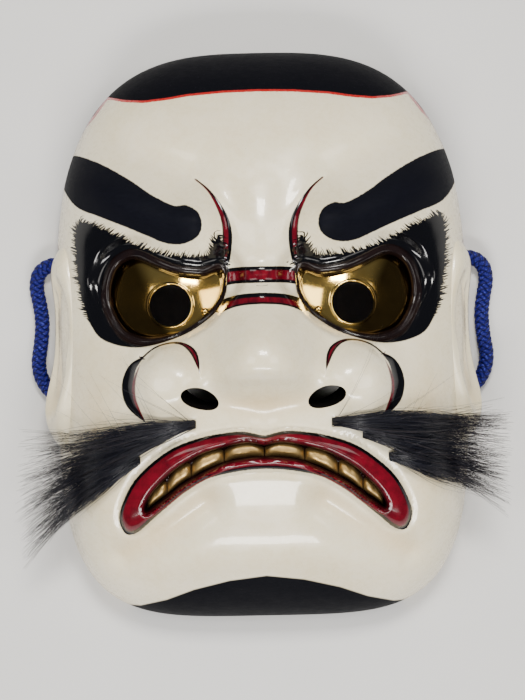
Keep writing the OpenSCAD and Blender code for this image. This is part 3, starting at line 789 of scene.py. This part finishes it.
def tube(name, p, s, radius, sides, material, relief=None):
    """A swept tube with UVs: u the mm along it, v from 0 to 1 round it."""
    t = np.gradient(p, axis=0)
    t /= np.linalg.norm(t, axis=1)[:, None]
    side = np.cross([0, 0, 1.0], t)
    bad = np.linalg.norm(side, axis=1) < 1e-3
    side[bad] = [1, 0, 0]
    side /= np.linalg.norm(side, axis=1)[:, None]
    up = np.cross(t, side)
    a = np.linspace(0, 2 * math.pi, sides, endpoint=False)
    r = np.full((len(p), sides), float(radius))
    if relief:
        r = r + relief(s[:, None], a[None, :])
    round_it = side[:, None] * np.cos(a)[None, :, None] + up[:, None] * np.sin(a)[None, :, None]
    v = p[:, None] + r[..., None] * round_it
    n = len(p)
    i, j = np.meshgrid(np.arange(n - 1), np.arange(sides), indexing="ij")
    a, b, after = i * sides, (i + 1) * sides, (j + 1) % sides
    q = np.stack([a + j, a + after, b + after, b + j], -1).reshape(-1, 4)
    caps = [list(range(sides))[::-1], list(range((n - 1) * sides, n * sides))]
    ob = mesh_object(name, v.reshape(-1, 3), q.tolist() + caps, material)
    layer = ob.data.uv_layers.new(name="UVMap")
    uu = np.stack([s[i], s[i], s[i + 1], s[i + 1]], -1).reshape(-1)
    vv = np.stack([j, j + 1, j + 1, j], -1).reshape(-1) / sides
    flat = np.zeros((len(ob.data.loops), 2))
    flat[: len(uu), 0], flat[: len(uu), 1] = uu, vv
    layer.data.foreach_set("uv", flat.ravel())
    return ob


def plait(s, a):
    """Relief of the braid in mm, for the stretch that shows."""
    x, y = (s / PITCH + way * a / (2 * math.pi) * STRANDS for way in (1, -1))
    over = (np.floor(x) + np.floor(y)) % 2 > 0.5
    return 0.32 * np.where(over, np.abs(np.sin(math.pi * y)), np.abs(np.sin(math.pi * x))) - 0.22


def cords():
    """One swept tube a side, finely meshed for the first SHOWN mm."""
    made = []
    for side, word in SIDES:
        coarse, s0 = resample(cord_route(side), 1.0)
        fine, s1 = resample(cord_route(side), 0.24)
        p = np.concatenate([fine[s1 < SHOWN], coarse[s0 >= SHOWN]])
        s = np.concatenate([s1[s1 < SHOWN], s0[s0 >= SHOWN]])
        ob = tube(f"{word}_cord_whole", p, s, CORD_D / 2, 24, BRAID, plait)
        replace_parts(ob, f"{word}_cord", f"{word}_cord_coil")
        made.append((side, word, ob, p, s[-1]))
    return made


CORDS = cords()


def knot(name, centre, size, node):
    """A tight knot of the cord, drawn thinner: a trefoil."""
    thin = CORD_D * 0.36
    t = np.linspace(0, 2 * math.pi, 160)
    p = np.stack([np.sin(t) + 2 * np.sin(2 * t), np.cos(t) - 2 * np.cos(2 * t), -1.6 * np.sin(3 * t)], -1)
    p = p / np.abs(p).max() * (size / 2 - thin) + centre
    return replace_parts(tube(name, p, run_along(p), thin, 16, BRAID, plait), node)


def tie(name, side, node):
    """Three turns of thin cord bound round the coil."""
    t = np.linspace(0, 2 * math.pi * 3, 150)
    r = BUNDLE / 2 + 0.6
    x = COIL[0] * side + (t / (2 * math.pi) - 1.5) * 1.5
    p = np.stack([x, COIL[1] - COIL_R + r * np.sin(t), COIL[2] + r * np.cos(t)], -1)
    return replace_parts(tube(name, p, run_along(p), 0.62, 8, BRAID), node)


for side, word, ob, path, length in CORDS:
    at = np.array([side * (HALF_W - 13.9), BORE_Y, 5.8])
    stopper = knot(f"{word}_knot_inside", at, 10.6, f"{word}_stopper_knot")
    gap = BUNDLE / 2 + 4.55
    at = np.array([side * COIL[0], COIL[1] + COIL_R - math.sqrt(gap**2 - 2.6**2), 5.2])
    end = knot(f"{word}_knot_end", at, 9, f"{word}_end_knot")
    bound = tie(f"{word}_tie_turns", side, f"{word}_coil_tie")


# ---- the mask
def sheet(m, n, hw, hh, height):
    """Grid points of the shell's front or back, with the border on the rim."""
    x, y = face_grid(m, n, hw, hh)
    z = np.maximum(height(x, y), 0.02)
    z[[0, -1]] = 0
    z[:, [0, -1]] = 0
    return np.stack([x, y, np.maximum(z, arch_z(y) * (np.abs(x) > 40))], -1).reshape(-1, 3)


def cutter(at, axis, r, h, stretch=1.0, turn=0.0, material=WOOD, low=0.0, lean=0.0):
    """A round or oval bar from low to h along the axis, to cut a hole with."""
    n = 64
    a = np.linspace(0, 2 * math.pi, n, endpoint=False)
    c, s = math.cos(turn), math.sin(turn)
    ring = np.stack([r * stretch * np.cos(a), r * np.sin(a)], -1) @ np.array([[c, s], [-s, c]])
    v = np.concatenate([np.concatenate([ring + [0, -lean * e], np.full((n, 1), e)], 1) for e in (low, h)])
    if axis == "x":
        v = v[:, [2, 0, 1]]
    f = [[i, (i + 1) % n, n + (i + 1) % n, n + i] for i in range(n)]
    return mesh_object("cut", v + np.array(at), f + [list(range(n))[::-1], list(range(n, 2 * n))], material)


def shell():
    m, n = ((244, 322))
    mi, ni = m // 2, n // 2
    top = sheet(m, n, HALF_W, HALF_H, face_z)
    bottom = sheet(mi, ni, HALF_W - WALL, HALF_H - WALL, hollow_z)
    outer, inner = np.array(border(m, n)), np.array(border(mi, ni)) + len(top)
    rim = []
    for i in range(len(inner)):
        a, b, c = outer[2 * i], outer[2 * i + 1], outer[(2 * i + 2) % len(outer)]
        p, q = inner[i], inner[(i + 1) % len(inner)]
        rim += [(p, b, a), (p, q, b), (q, c, b)]
    front, back = quads(m, n), quads(mi, ni, len(top), True)
    ob = mesh_object("mask_carved", np.concatenate([top, bottom]), front.tolist() + back.tolist() + rim)
    for mat in (LACQUER, WOOD, BLACK):
        ob.data.materials.append(mat)
    ob.data.polygons.foreach_set("material_index", [0] * len(front) + [1] * (len(back) + len(rim)))
    cutters = []
    for s in (-1, 1):
        cutters += [
            cutter((s * PUPIL[0], PUPIL[1], 0), "z", PUPIL_R + 1.5, 90),
            cutter((s * 22.6, -23, 56), "z", 4.0, 24, 1.8, s * math.radians(27), BLACK, -26, 0.25),
            cutter((s * (HALF_W - 4) - 16, BORE_Y, BORE_Z), "x", 3, 32),
        ]
    for c in cutters:
        mod = ob.modifiers.new("cut", "BOOLEAN")
        mod.operation, mod.object, mod.solver = "DIFFERENCE", c, "MANIFOLD"
        mod.material_mode = "TRANSFER"
    me = bpy.data.meshes.new_from_object(ob.evaluated_get(bpy.context.evaluated_depsgraph_get()))
    ob.modifiers.clear()
    ob.data = me
    for c in cutters:
        bpy.data.objects.remove(c)
    me.set_sharp_from_angle(angle=math.radians(48))
    paint(ob)
    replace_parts(ob, "mask_shell")


def paint(ob):
    """Distances to the painted outlines, in mm as seen from the front."""
    v = coords(ob)
    z = v[:, 2]
    x, y = seen(np.abs(v[:, 0]), v[:, 1], z)
    xs = np.where(v[:, 0] < 0, -x, x)
    d, s = loop_distance(x, y, SURROUND)
    floats(ob, "eye_edge", d)
    floats(ob, "eye_along", s + 300 * (v[:, 0] < 0))
    # long brush hairs on the top and the outer side, none along the bottom
    fur = 3.0 * smooth(3, 12, y) * smooth(20, 30, np.where(x > 60, 40, y)) + 0.15
    floats(ob, "eye_fur", fur)
    # painted shade mixed with yellowing: ochre under the nose, along the cheek folds, on the outer cheeks
    # and down the sides where the face turns away
    side = smooth(20, 6, z) * 0.45
    yellowing_and_shade = 0.75 * hill(x, y, 0, -26.5, 24, 4.5) + 0.5 * ridge(x, y, CHEEK_FOLD, 5)
    floats(ob, "yellowing_and_shade", np.minimum(0.8, yellowing_and_shade + side + 0.35 * hill(x, y, 62, -36, 9, 26)))
    hair = loop_distance(xs, y, HAIR)[0]
    hair = np.minimum(hair, np.maximum(z - 8 * smooth(34, 52, v[:, 1]), 34 - v[:, 1]))
    floats(ob, "hair_edge", hair)
    floats(ob, "brow_edge", loop_distance(x, y, BROW)[0])
    for name, outline in (("chin", CHIN), ("lip", LIPS), ("gap", GAP)):
        floats(ob, name + "_edge", loop_distance(xs, y, outline)[0])
    # tapered strokes: offset from the middle line and half width, black ones with a narrower red one on them
    def wing(t):
        return 0.32 + 0.85 * np.exp(-(((t - 0.74) / 0.17) ** 2)) - 0.3 * smooth(0.85, 1, t)

    black = [
        stroke(x, y, CREASE, lambda t: 0.25 + 1.6 * smooth(0, 0.8, t)),
        stroke(x, y, ROLLS[0], lambda t: 3.1 + 0 * t),
        stroke(x, y, ROLLS[1], lambda t: 2.15 + 0 * t),
        stroke(x, y, WING_LINE, wing),
        stroke(x, y, WING_MID, lambda t: 0.1 + 2.1 * np.sin(math.pi * t) ** 0.8),
    ]
    red = [
        stroke(x, y, CREASE + [0.45, 0], lambda t: 0.12 + 0.75 * smooth(0.05, 0.8, t)),
        stroke(x, y, ROLLS[0] - [0, 0.1], lambda t: 1.75 + 0 * t),
        stroke(x, y, ROLLS[1] - [0, 0.45], lambda t: 0.95 + 0 * t),
        stroke(x, y, WING_LINE + [0.15, 0.15], lambda t: 0.5 * np.exp(-(((t - 0.74) / 0.15) ** 2)) - 0.1),
        stroke(x, y, WING_RED, lambda t: 0.62 * np.sin(math.pi * t) ** 0.7 - 0.04),
        stroke(x, y, SIDEBURN, lambda t: 0.75 - 0.65 * t),
    ]
    for name, strokes in (("black", black), ("red", red)):
        off, wide = nearest(strokes)
        floats(ob, name + "_off", off)
        floats(ob, name + "_half", wide)


def eye_plates():
    n, rings = len(EYE_REAL), 26
    c = np.array(PUPIL)
    for side, word in SIDES:
        ray = EYE_REAL - c
        far = np.hypot(*ray.T)
        u = ray / far[:, None]
        # the rolled edge of the pupil, then rings out to the lids
        grid = []
        for r, h in ((0, -0.8), (0, 0.2), (0.25, 0.45), (0.6, 0.45), (0.85, 0.2), (1.0, 0)):
            p = c + u * (PUPIL_R + r)
            grid.append(np.column_stack([p, ball_z(*p.T) + h]))
        for k in range(1, rings + 1):
            t = k / rings
            p = c + u * ((1 - t) * (PUPIL_R + 1.0) + t * (far + 0.1))[:, None]
            grid.append(np.column_stack([p, ball_z(*p.T)]))
        v = np.array(grid).reshape(-1, 3)
        q = ring_quads(len(grid), n)
        d = -loop_distance(v[:, 0], v[:, 1], EYE_REAL)[0]
        v = v * [side, 1, 1]
        ob = mesh_object(f"{word}_eye_gilt", v, q if side < 0 else q[:, ::-1], GOLD)
        ob.data.set_sharp_from_angle(angle=math.radians(50))
        solid = ob.modifiers.new("sheet", "SOLIDIFY")
        solid.thickness, solid.offset = 0.6 * MM, -1
        floats(ob, "plate_edge", d)
        # painted shade on the plate's outer part, beyond a slanted line: a dark reflection painted into the
        # colour
        beyond = np.abs(v[:, 0]) - PUPIL[0] - 3 - 0.45 * (v[:, 1] - 12)
        floats(ob, "plate_painted_shade", 0.97 * smooth(-2, 5, beyond))
        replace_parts(ob, f"{word}_eye_plate")


def lid_rims():
    """The raised rim round each eye opening: one smooth moulding along the opening's outline."""
    n = 300
    loop = resample_loop(EYE_REAL, n)
    out = outward(loop)
    blur = blur_weights(n, 7)
    sx, sy = seen(loop[:, 0], loop[:, 1], ball_z(*loop.T) + 2)
    room = np.clip(-loop_distance(sx, sy, SURROUND)[0], 1.1, 3.4) / 3.4
    room = blur @ room / blur.sum(1)
    for _ in range(2):
        out = blur**6 @ out
        out /= np.hypot(*out.T)[:, None]
    crest = loop + out * (2.2 * room)[:, None]
    rise = face_z(*crest.T) - ball_z(*crest.T)
    rows = []
    for o in (-0.4, -0.35, -0.2, 0.1, 0.5, 1.0, 1.6, 2.2, 2.8, 3.4, 4.0):
        p = loop + out * (o * np.where(o > 0, room, 1))[:, None]
        u = np.clip((o + 0.35) / 2.55, 0, 1)
        z = ball_z(*p.T) + 0.15 + (rise - 0.05) * math.sin(math.pi / 2 * u) ** 0.62
        if o == -0.4:
            z = ball_z(*p.T) - 0.7
        elif o > 3.5:
            z = face_z(*p.T) - 0.7
        elif o > 2.9:
            z = face_z(*p.T) + 0.05
        elif o > 2.2:
            z = np.maximum(face_z(*p.T) + 0.10, z)
        rows.append(np.column_stack([p, z]))
    g = np.array(rows)
    # smooth the moulding along its run
    g[:, :, 2] = g[:, :, 2] @ (blur**5 / (blur**5).sum(1)[:, None]).T
    q = ring_quads(len(g), n)
    for side, word in SIDES:
        flip = anticlockwise(loop) == (side > 0)
        v = g.reshape(-1, 3) * [side, 1, 1]
        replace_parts(mesh_object(f"{word}_lid_rim", v, q if flip else q[:, ::-1], RIM), "mask_shell")


def lip_edge():
    """The rounded inner edge of the lips, down into the slot: one moulding along the slot's outline."""
    n = 420
    loop = resample_loop(GAP_REAL, n)
    blur = blur_weights(n, 2.5)
    blur /= blur.sum(1)[:, None]
    out = blur @ outward(loop)
    out /= np.hypot(*out.T)[:, None]
    base = loop + out * 1.7
    top = blur @ face_z(*base.T)
    # mm out of the slot, mm down from the lip, and how much painted shade darkens it
    profile = [(-0.5, 6, 1), (-0.45, 4, 1), (-0.3, 2.3, 0.95), (-0.05, 1.2, 0.8), (0.3, 0.5, 0.5),
               (0.7, 0.12, 0.2), (1.2, -0.06, 0), (1.7, -0.08, 0), (2.1, -0.02, 0), (2.5, 0.6, 0)]
    rows = []
    for o, drop, _ in profile:
        p = loop + out * o
        z = top - drop if o < 2 else blur @ face_z(*p.T) - drop
        rows.append(np.column_stack([p, z]))
    q = ring_quads(len(rows), n)
    q = q if anticlockwise(loop) else q[:, ::-1]
    ob = mesh_object("lip_edge", np.array(rows).reshape(-1, 3), q, LIP)
    floats(ob, "deep", np.repeat([dark for _, _, dark in profile], n))
    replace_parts(ob, "mask_shell")


def nails():
    x, y = 20.4, 8.2
    n, shank = 24, 3.5
    p = np.array([x, y, ball_z(x, y)])
    up = (p - BALL) / np.linalg.norm(p - BALL)
    e1 = np.cross(up, [0, 1, 0])
    e1 /= np.linalg.norm(e1)
    e2 = np.cross(up, e1)
    # radius and height of the shank and the domed head
    profile = [(0.75, -shank), (0.75, 0.02), (1.35, 0.05), (1.42, 0.25), (1.3, 0.6), (0.95, 0.95),
               (0.45, 1.12)]
    last = (len(profile) - 1) * n
    angles = np.linspace(0, 2 * math.pi, n, endpoint=False)
    points = [p + up * h + r * (e1 * math.cos(t) + e2 * math.sin(t)) for r, h in profile for t in angles]
    points += [p + up * 1.16, p - up * shank]
    faces = ring_quads(len(profile), n)[:, ::-1].tolist()
    faces += [[last + j, last + (j + 1) % n, last + n] for j in range(n)]
    faces += [[(j + 1) % n, j, last + n + 1] for j in range(n)]
    for side, word in SIDES:
        v = np.array(points) * [side, 1, 1]
        ob = mesh_object(f"{word}_nail", v, [f if side < 0 else f[::-1] for f in faces], GOLD)
        floats(ob, "plate_edge", np.full(len(v), 3.0))
        # the nails take half of the plates' painted shade
        floats(ob, "plate_painted_shade", np.full(len(v), 0.5))
        ob.data.set_sharp_from_angle(angle=math.radians(40))
        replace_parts(ob, f"{word}_eye_nail")


# where one tooth ends and the next begins, from the middle out
EDGES = np.array([0, 14.5, 26.5, 35.5, 43.4])


def teeth():
    m, n = 360, 30
    x = np.linspace(-EDGES[-1], EDGES[-1], m + 1)
    tops, lows = [], []
    for xx in x:
        hits = []
        for a, b in zip(GAP_REAL, np.roll(GAP_REAL, -1, axis=0)):
            if (a[0] - xx) * (b[0] - xx) <= 0 and a[0] != b[0]:
                hits.append(a[1] + (xx - a[0]) / (b[0] - a[0]) * (b[1] - a[1]))
        tops.append(max(hits))
        lows.append(min(hits))
    tops, lows = np.array(tops) + 0.3, np.array(lows) - 0.3
    a = np.minimum(np.abs(x), EDGES[-1] - 0.01)
    k = np.searchsorted(EDGES, a, side="right") - 1
    t = (a - EDGES[k]) / (EDGES[k + 1] - EDGES[k])
    across = np.abs(2 * t - 1)
    lobe = np.maximum(0, 1 - across**3.4) ** 0.5
    gx, gs = np.meshgrid(x, np.linspace(0, 1, n + 1), indexing="ij")
    y = lows[:, None] + (tops - lows)[:, None] * gs
    surface = -26 + np.sqrt(81**2 - gx**2)
    # each tooth is a cushion, rounded at the gum, over a slot that shows below it
    low = (0.10 + 0.16 * (a / 43) ** 2)[:, None]
    high = (1.0 - 0.26 * across**2.4)[:, None]
    up = np.clip((gs - low) / (high - low), 0, 1)
    cushion = lobe[:, None] * np.maximum(0, 1 - np.abs(2 * up - 1) ** 2.6) ** 0.5
    z = surface - 6.2 + 4.6 * cushion + 0.5 * (up - 0.5) * cushion
    z = z - 0.22 * np.exp(-(((t[:, None] - 0.5) / 0.10) ** 2)) * smooth(0.2, 0.8, up) * cushion
    v = np.stack([gx, y, z], -1).reshape(-1, 3)
    back = np.stack([gx, y, surface - 7.4], -1).reshape(-1, 3)
    q1, q2 = quads(m, n), quads(m, n, len(v), True)
    b = border(m, n)
    sides = [[b[i], b[i - 1], b[i - 1] + len(v), b[i] + len(v)] for i in range(len(b))]
    ob = mesh_object("tooth_strip", np.concatenate([v, back]), q1.tolist() + q2.tolist() + sides, TOOTH)
    # how much painted shade darkens each spot: most in the grooves and on the back
    groove = (1 - smooth(0.1, 0.62, cushion)).ravel()
    floats(ob, "tooth_groove", np.concatenate([groove, np.ones(len(v))]))
    ob.data.set_sharp_from_angle(angle=math.radians(60))
    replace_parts(ob, "tooth_row")


def ears():
    def side_x(z):
        return HALF_W * (1 - (z / DOME) ** DOME_E) ** (1 / DOME_E)

    low, high = 8.1, 26.9
    tilt = math.pi / 2 - math.atan2(side_x(low) - side_x(high), high - low)
    c, s = math.cos(tilt), math.sin(tilt)
    turn = np.array([[c, 0, s], [0, 1, 0], [-s, 0, c]])
    middle = (low + high) / 2
    centre = np.array([side_x(middle) - 1.8, -4, middle])
    rings, n = 44, 160
    a = np.linspace(0, 2 * math.pi, n, endpoint=False)
    ca, sa = np.cos(a), np.sin(a)
    ex = 10 * np.sign(ca) * np.abs(ca) ** 0.8
    ey = 38 * np.sign(sa) * np.abs(sa) ** 0.8
    rr = np.linspace(0.02, 1, rings)[:, None]
    x, y = rr * ex[None], rr * ey[None]
    v = y - 4
    out = 0.2 + 0.45 * np.exp(-(((v - 27) / 11) ** 2)) + 0.82 * np.exp(-(((v + 31) / 17) ** 2))
    height = 7.5 * out * (0.875 + 0.125 * ca[None])
    curl = np.sqrt(np.maximum(0, 1 - ((rr - 0.72) / 0.285) ** 2))
    helix = np.where(rr > 0.72, curl, 1 - 0.50 * smooth(0.74, 0.52, rr))
    # antihelix and the small flap in front of the ear's hole
    anti = 1.8 * np.exp(-(((x - 1.5 - 0.003 * (y - 6) ** 2) / 1.6) ** 2))
    anti = anti * smooth(-26, -14, y) * smooth(30, 18, y)
    flap = 1.6 * np.exp(-(((x + 5.5) / 2.2) ** 2 + ((y + 4) / 5) ** 2))
    z = np.maximum(0, height * helix + 0.5 * (anti + flap) * smooth(0.9, 0.7, rr))
    v = np.stack([x, y, z], -1).reshape(-1, 3)
    v = np.concatenate([v, np.stack([ex, ey, np.zeros(n)], -1), [[0, 0, z[0].mean()], [0, 0, 0]]])
    last, k = rings * n, (rings + 1) * n
    faces = ring_quads(rings + 1, n).tolist() + [[j, (j + 1) % n, k] for j in range(n)]
    faces += [[last + (j + 1) % n, last + j, k + 1] for j in range(n)]
    hollow = np.concatenate([smooth(0.72, 0.4, np.broadcast_to(rr, x.shape)).ravel(), np.zeros(n + 2)])
    for side, word in SIDES:
        w = (v @ turn.T + centre) * [side, 1, 1]
        ob = mesh_object(f"{word}_ear_carved", w, [f if side > 0 else f[::-1] for f in faces], EAR)
        floats(ob, "ear_hollow", hollow)
        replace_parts(ob, f"{word}_ear")


# ---- moustache
ROOTS = [(25.5, -32.0), (36.5, -36.8), (46.0, -45.0)]
TIPS = {1: (-37.0, -47.0, -57.0), -1: (-50.0, -61.0, -71.0)}


def strand_mesh(name, lines, radii, shades):
    """Thin three-sided tapered tubes. lines is (count, points, 3)."""
    count, n = lines.shape[:2]
    t = np.gradient(lines, axis=1)
    t /= np.linalg.norm(t, axis=2)[..., None] + 1e-9
    side = np.cross(t, [0, 0, 1.0])
    side /= np.linalg.norm(side, axis=2)[..., None] + 1e-9
    up = np.cross(side, t)
    a = np.array([0.5, 2.594, 4.689])
    round_it = side[:, :, None] * np.cos(a)[:, None] + up[:, :, None] * np.sin(a)[:, None]
    v = lines[:, :, None] + radii[:, :, None, None] * round_it
    base = (np.arange(count) * n * 3)[:, None, None]
    i, j = np.arange(n - 1)[None, :, None] * 3, np.arange(3)[None, None, :]
    j2 = (j + 1) % 3
    q = np.stack([base + i + j, base + i + j2, base + i + 3 + j2, base + i + 3 + j], -1).reshape(-1, 4)
    caps = np.concatenate([(base[:, 0] + [2, 1, 0]), (base[:, 0] + (n - 1) * 3 + [0, 1, 2])])
    ob = mesh_object(name, v.reshape(-1, 3), q.tolist() + caps.tolist(), HAIRS)
    floats(ob, "strand", np.repeat(shades, n * 3))
    floats(ob, "along", np.tile(np.repeat(np.linspace(0, 1, n), 3), count))
    return ob


def skin_z(x, y):
    return float(face_z(np.array([x], float), np.array([y], float))[0])


def tufts():
    count = 560
    n, strays = 13, 7
    t = np.linspace(0, 1, n)[None, :] ** 1.15
    st = np.linspace(0, 1, n + 1)[None, :]
    xs = np.linspace(20, HALF_W, 60)
    for side, word in SIDES:
        for k in range(3):
            rx, ry = ROOTS[k]
            tip_y = TIPS[side][k]
            u = rng.normal(size=(4, count))
            lock = rng.integers(0, 15, count)
            fan = np.clip(rng.normal(0, 0.62, 15)[lock] + rng.normal(0, 0.16, count), -1.3, 1.3)
            reach = rng.uniform(0.48, 1.04, count)
            tt = t * reach[:, None]
            x0 = rx + np.clip(u[0], -1.6, 1.6)[:, None] * 0.75 * np.ones_like(t)
            y0 = ry + np.clip(u[1], -1.6, 1.6)[:, None] * 0.75 * np.ones_like(t)
            x = x0 + (88.5 - rx) * tt
            y = y0 + (tip_y - ry) * (0.75 * tt + 0.25 * tt**2) + fan[:, None] * (2.6 * tt + 7.5 * tt**1.6)
            bow = rng.normal(0, 1, (2, count))[:, :, None]
            y = y + np.clip(u[2], -2, 2)[:, None] * 1.7 * np.sin(math.pi * tt * 1.3)
            y = y + np.clip(bow[0], -2, 2) * 1.6 * tt**2
            y = y + 0.35 * np.clip(bow[1], -2, 2) * np.sin(9 * tt + bow[0])
            under = np.interp(xs, [rx, 88], [ry, tip_y])
            lie = np.interp(x, xs, [skin_z(min(a, 70), b) for a, b in zip(xs, under)])
            lie = np.maximum(lie, 30 - 6 * smooth(70, 90, x))
            rise = 0.6 + (2.6 + 1.3 * (k == 0)) * smooth(0, 0.14, tt) * (1 - 0.25 * tt)
            spread = 0.5 + 1.1 * np.sin(math.pi * np.clip(tt, 0, 1))
            z = lie + rise + np.clip(u[3], -1.8, 1.8)[:, None] * spread
            z = np.maximum(z, lie + 0.3)
            start = np.stack([x0[:, 0], y0[:, 0], np.full(count, skin_z(rx, ry) - 3.5)], -1)
            lines = np.concatenate([start[:, None], np.stack([x, y, z], -1)], 1) * [side, 1, 1]
            radii = np.linspace(1, 0.22, n + 1)[None, :] * rng.uniform(0.10, 0.16, count)[:, None]
            shades = rng.uniform(0, 1, count)
            # a few long stray hairs that leave the tuft
            ang = rng.uniform(-0.5, 1.5, strays)[:, None]
            ln = rng.uniform(20, 44, strays)[:, None]
            bend = rng.normal(0, 0.5, strays)[:, None]
            sx = rx + ln * st * np.cos(ang * 0.8)
            sy = ry + ln * (np.sin(ang * 0.8) * st + 0.22 * bend * st**2)
            sz = np.vectorize(lambda a, b: skin_z(min(a, 74), b))(sx, sy)
            arc = 9 * np.sin(math.pi * st * 0.62)
            sz = np.maximum(sz, 26) + 1.0 + arc * rng.uniform(0.4, 1, strays)[:, None]
            sz[:, 0] -= 3
            sx = np.minimum(sx, 92)
            stray = np.stack([sx * side, sy, sz], -1)
            lines = np.concatenate([lines, stray])
            thin = np.linspace(1, 0.25, n + 1)[None, :] * np.full((strays, 1), 0.075)
            radii = np.concatenate([radii, thin])
            shades = np.concatenate([shades, rng.uniform(0.5, 1, strays)])
            ob = strand_mesh(f"{word}_tuft_hair_{k + 1}", lines, radii, shades)
            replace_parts(ob, f"{word}_tuft_{k + 1}")


shell()
eye_plates()
lid_rims()
lip_edge()
nails()
teeth()
ears()
tufts()


# ---- floor and light
CORNERS = ((-1, -1), (1, -1), (1, 1), (-1, 1))
AIM = Vector((0, 0, 0.03))


def floor_mat():
    m = Mat("pale floor")
    v = m.noise(0.02, 4, 0.6)
    return m.set(Base_Color=m.mix(v, (0.60, 0.595, 0.585), (0.64, 0.635, 0.625)), Roughness=0.75)


floor = mesh_object("floor", [(3000 * a, 3000 * b, 0) for a, b in CORNERS], [[0, 1, 2, 3]], floor_mat())
world = bpy.data.worlds.new("world")
world.use_nodes = True
bpy.context.scene.world = world
sky = world.node_tree.nodes["Background"]
sky.inputs[0].default_value = (0.75, 0.82, 0.95, 1)
sky.inputs[1].default_value = 0.16


def area(name, at, size, power, colour=(1, 0.97, 0.92)):
    light = bpy.data.lights.new(name, "AREA")
    light.shape = "RECTANGLE"
    light.size, light.size_y = size
    light.energy = power
    light.color = colour
    ob = bpy.data.objects.new(name, light)
    bpy.context.scene.collection.objects.link(ob)
    ob.location = at
    ob.rotation_euler = (AIM - Vector(at)).to_track_quat("-Z", "Y").to_euler()


area("key", (0.05, 0.50, 0.92), (0.30, 0.20), 11.0)
area("panel left", (-0.50, 0.10, 0.84), (0.36, 0.50), 3.4)
area("panel right", (0.50, 0.10, 0.84), (0.36, 0.50), 3.0)
area("low", (0.0, -0.62, 0.66), (0.55, 0.14), 8.5, colour=(1, 0.98, 0.95))

for piece in list(bpy.context.scene.objects):
    if piece.get("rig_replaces"):
        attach(piece, BODY)
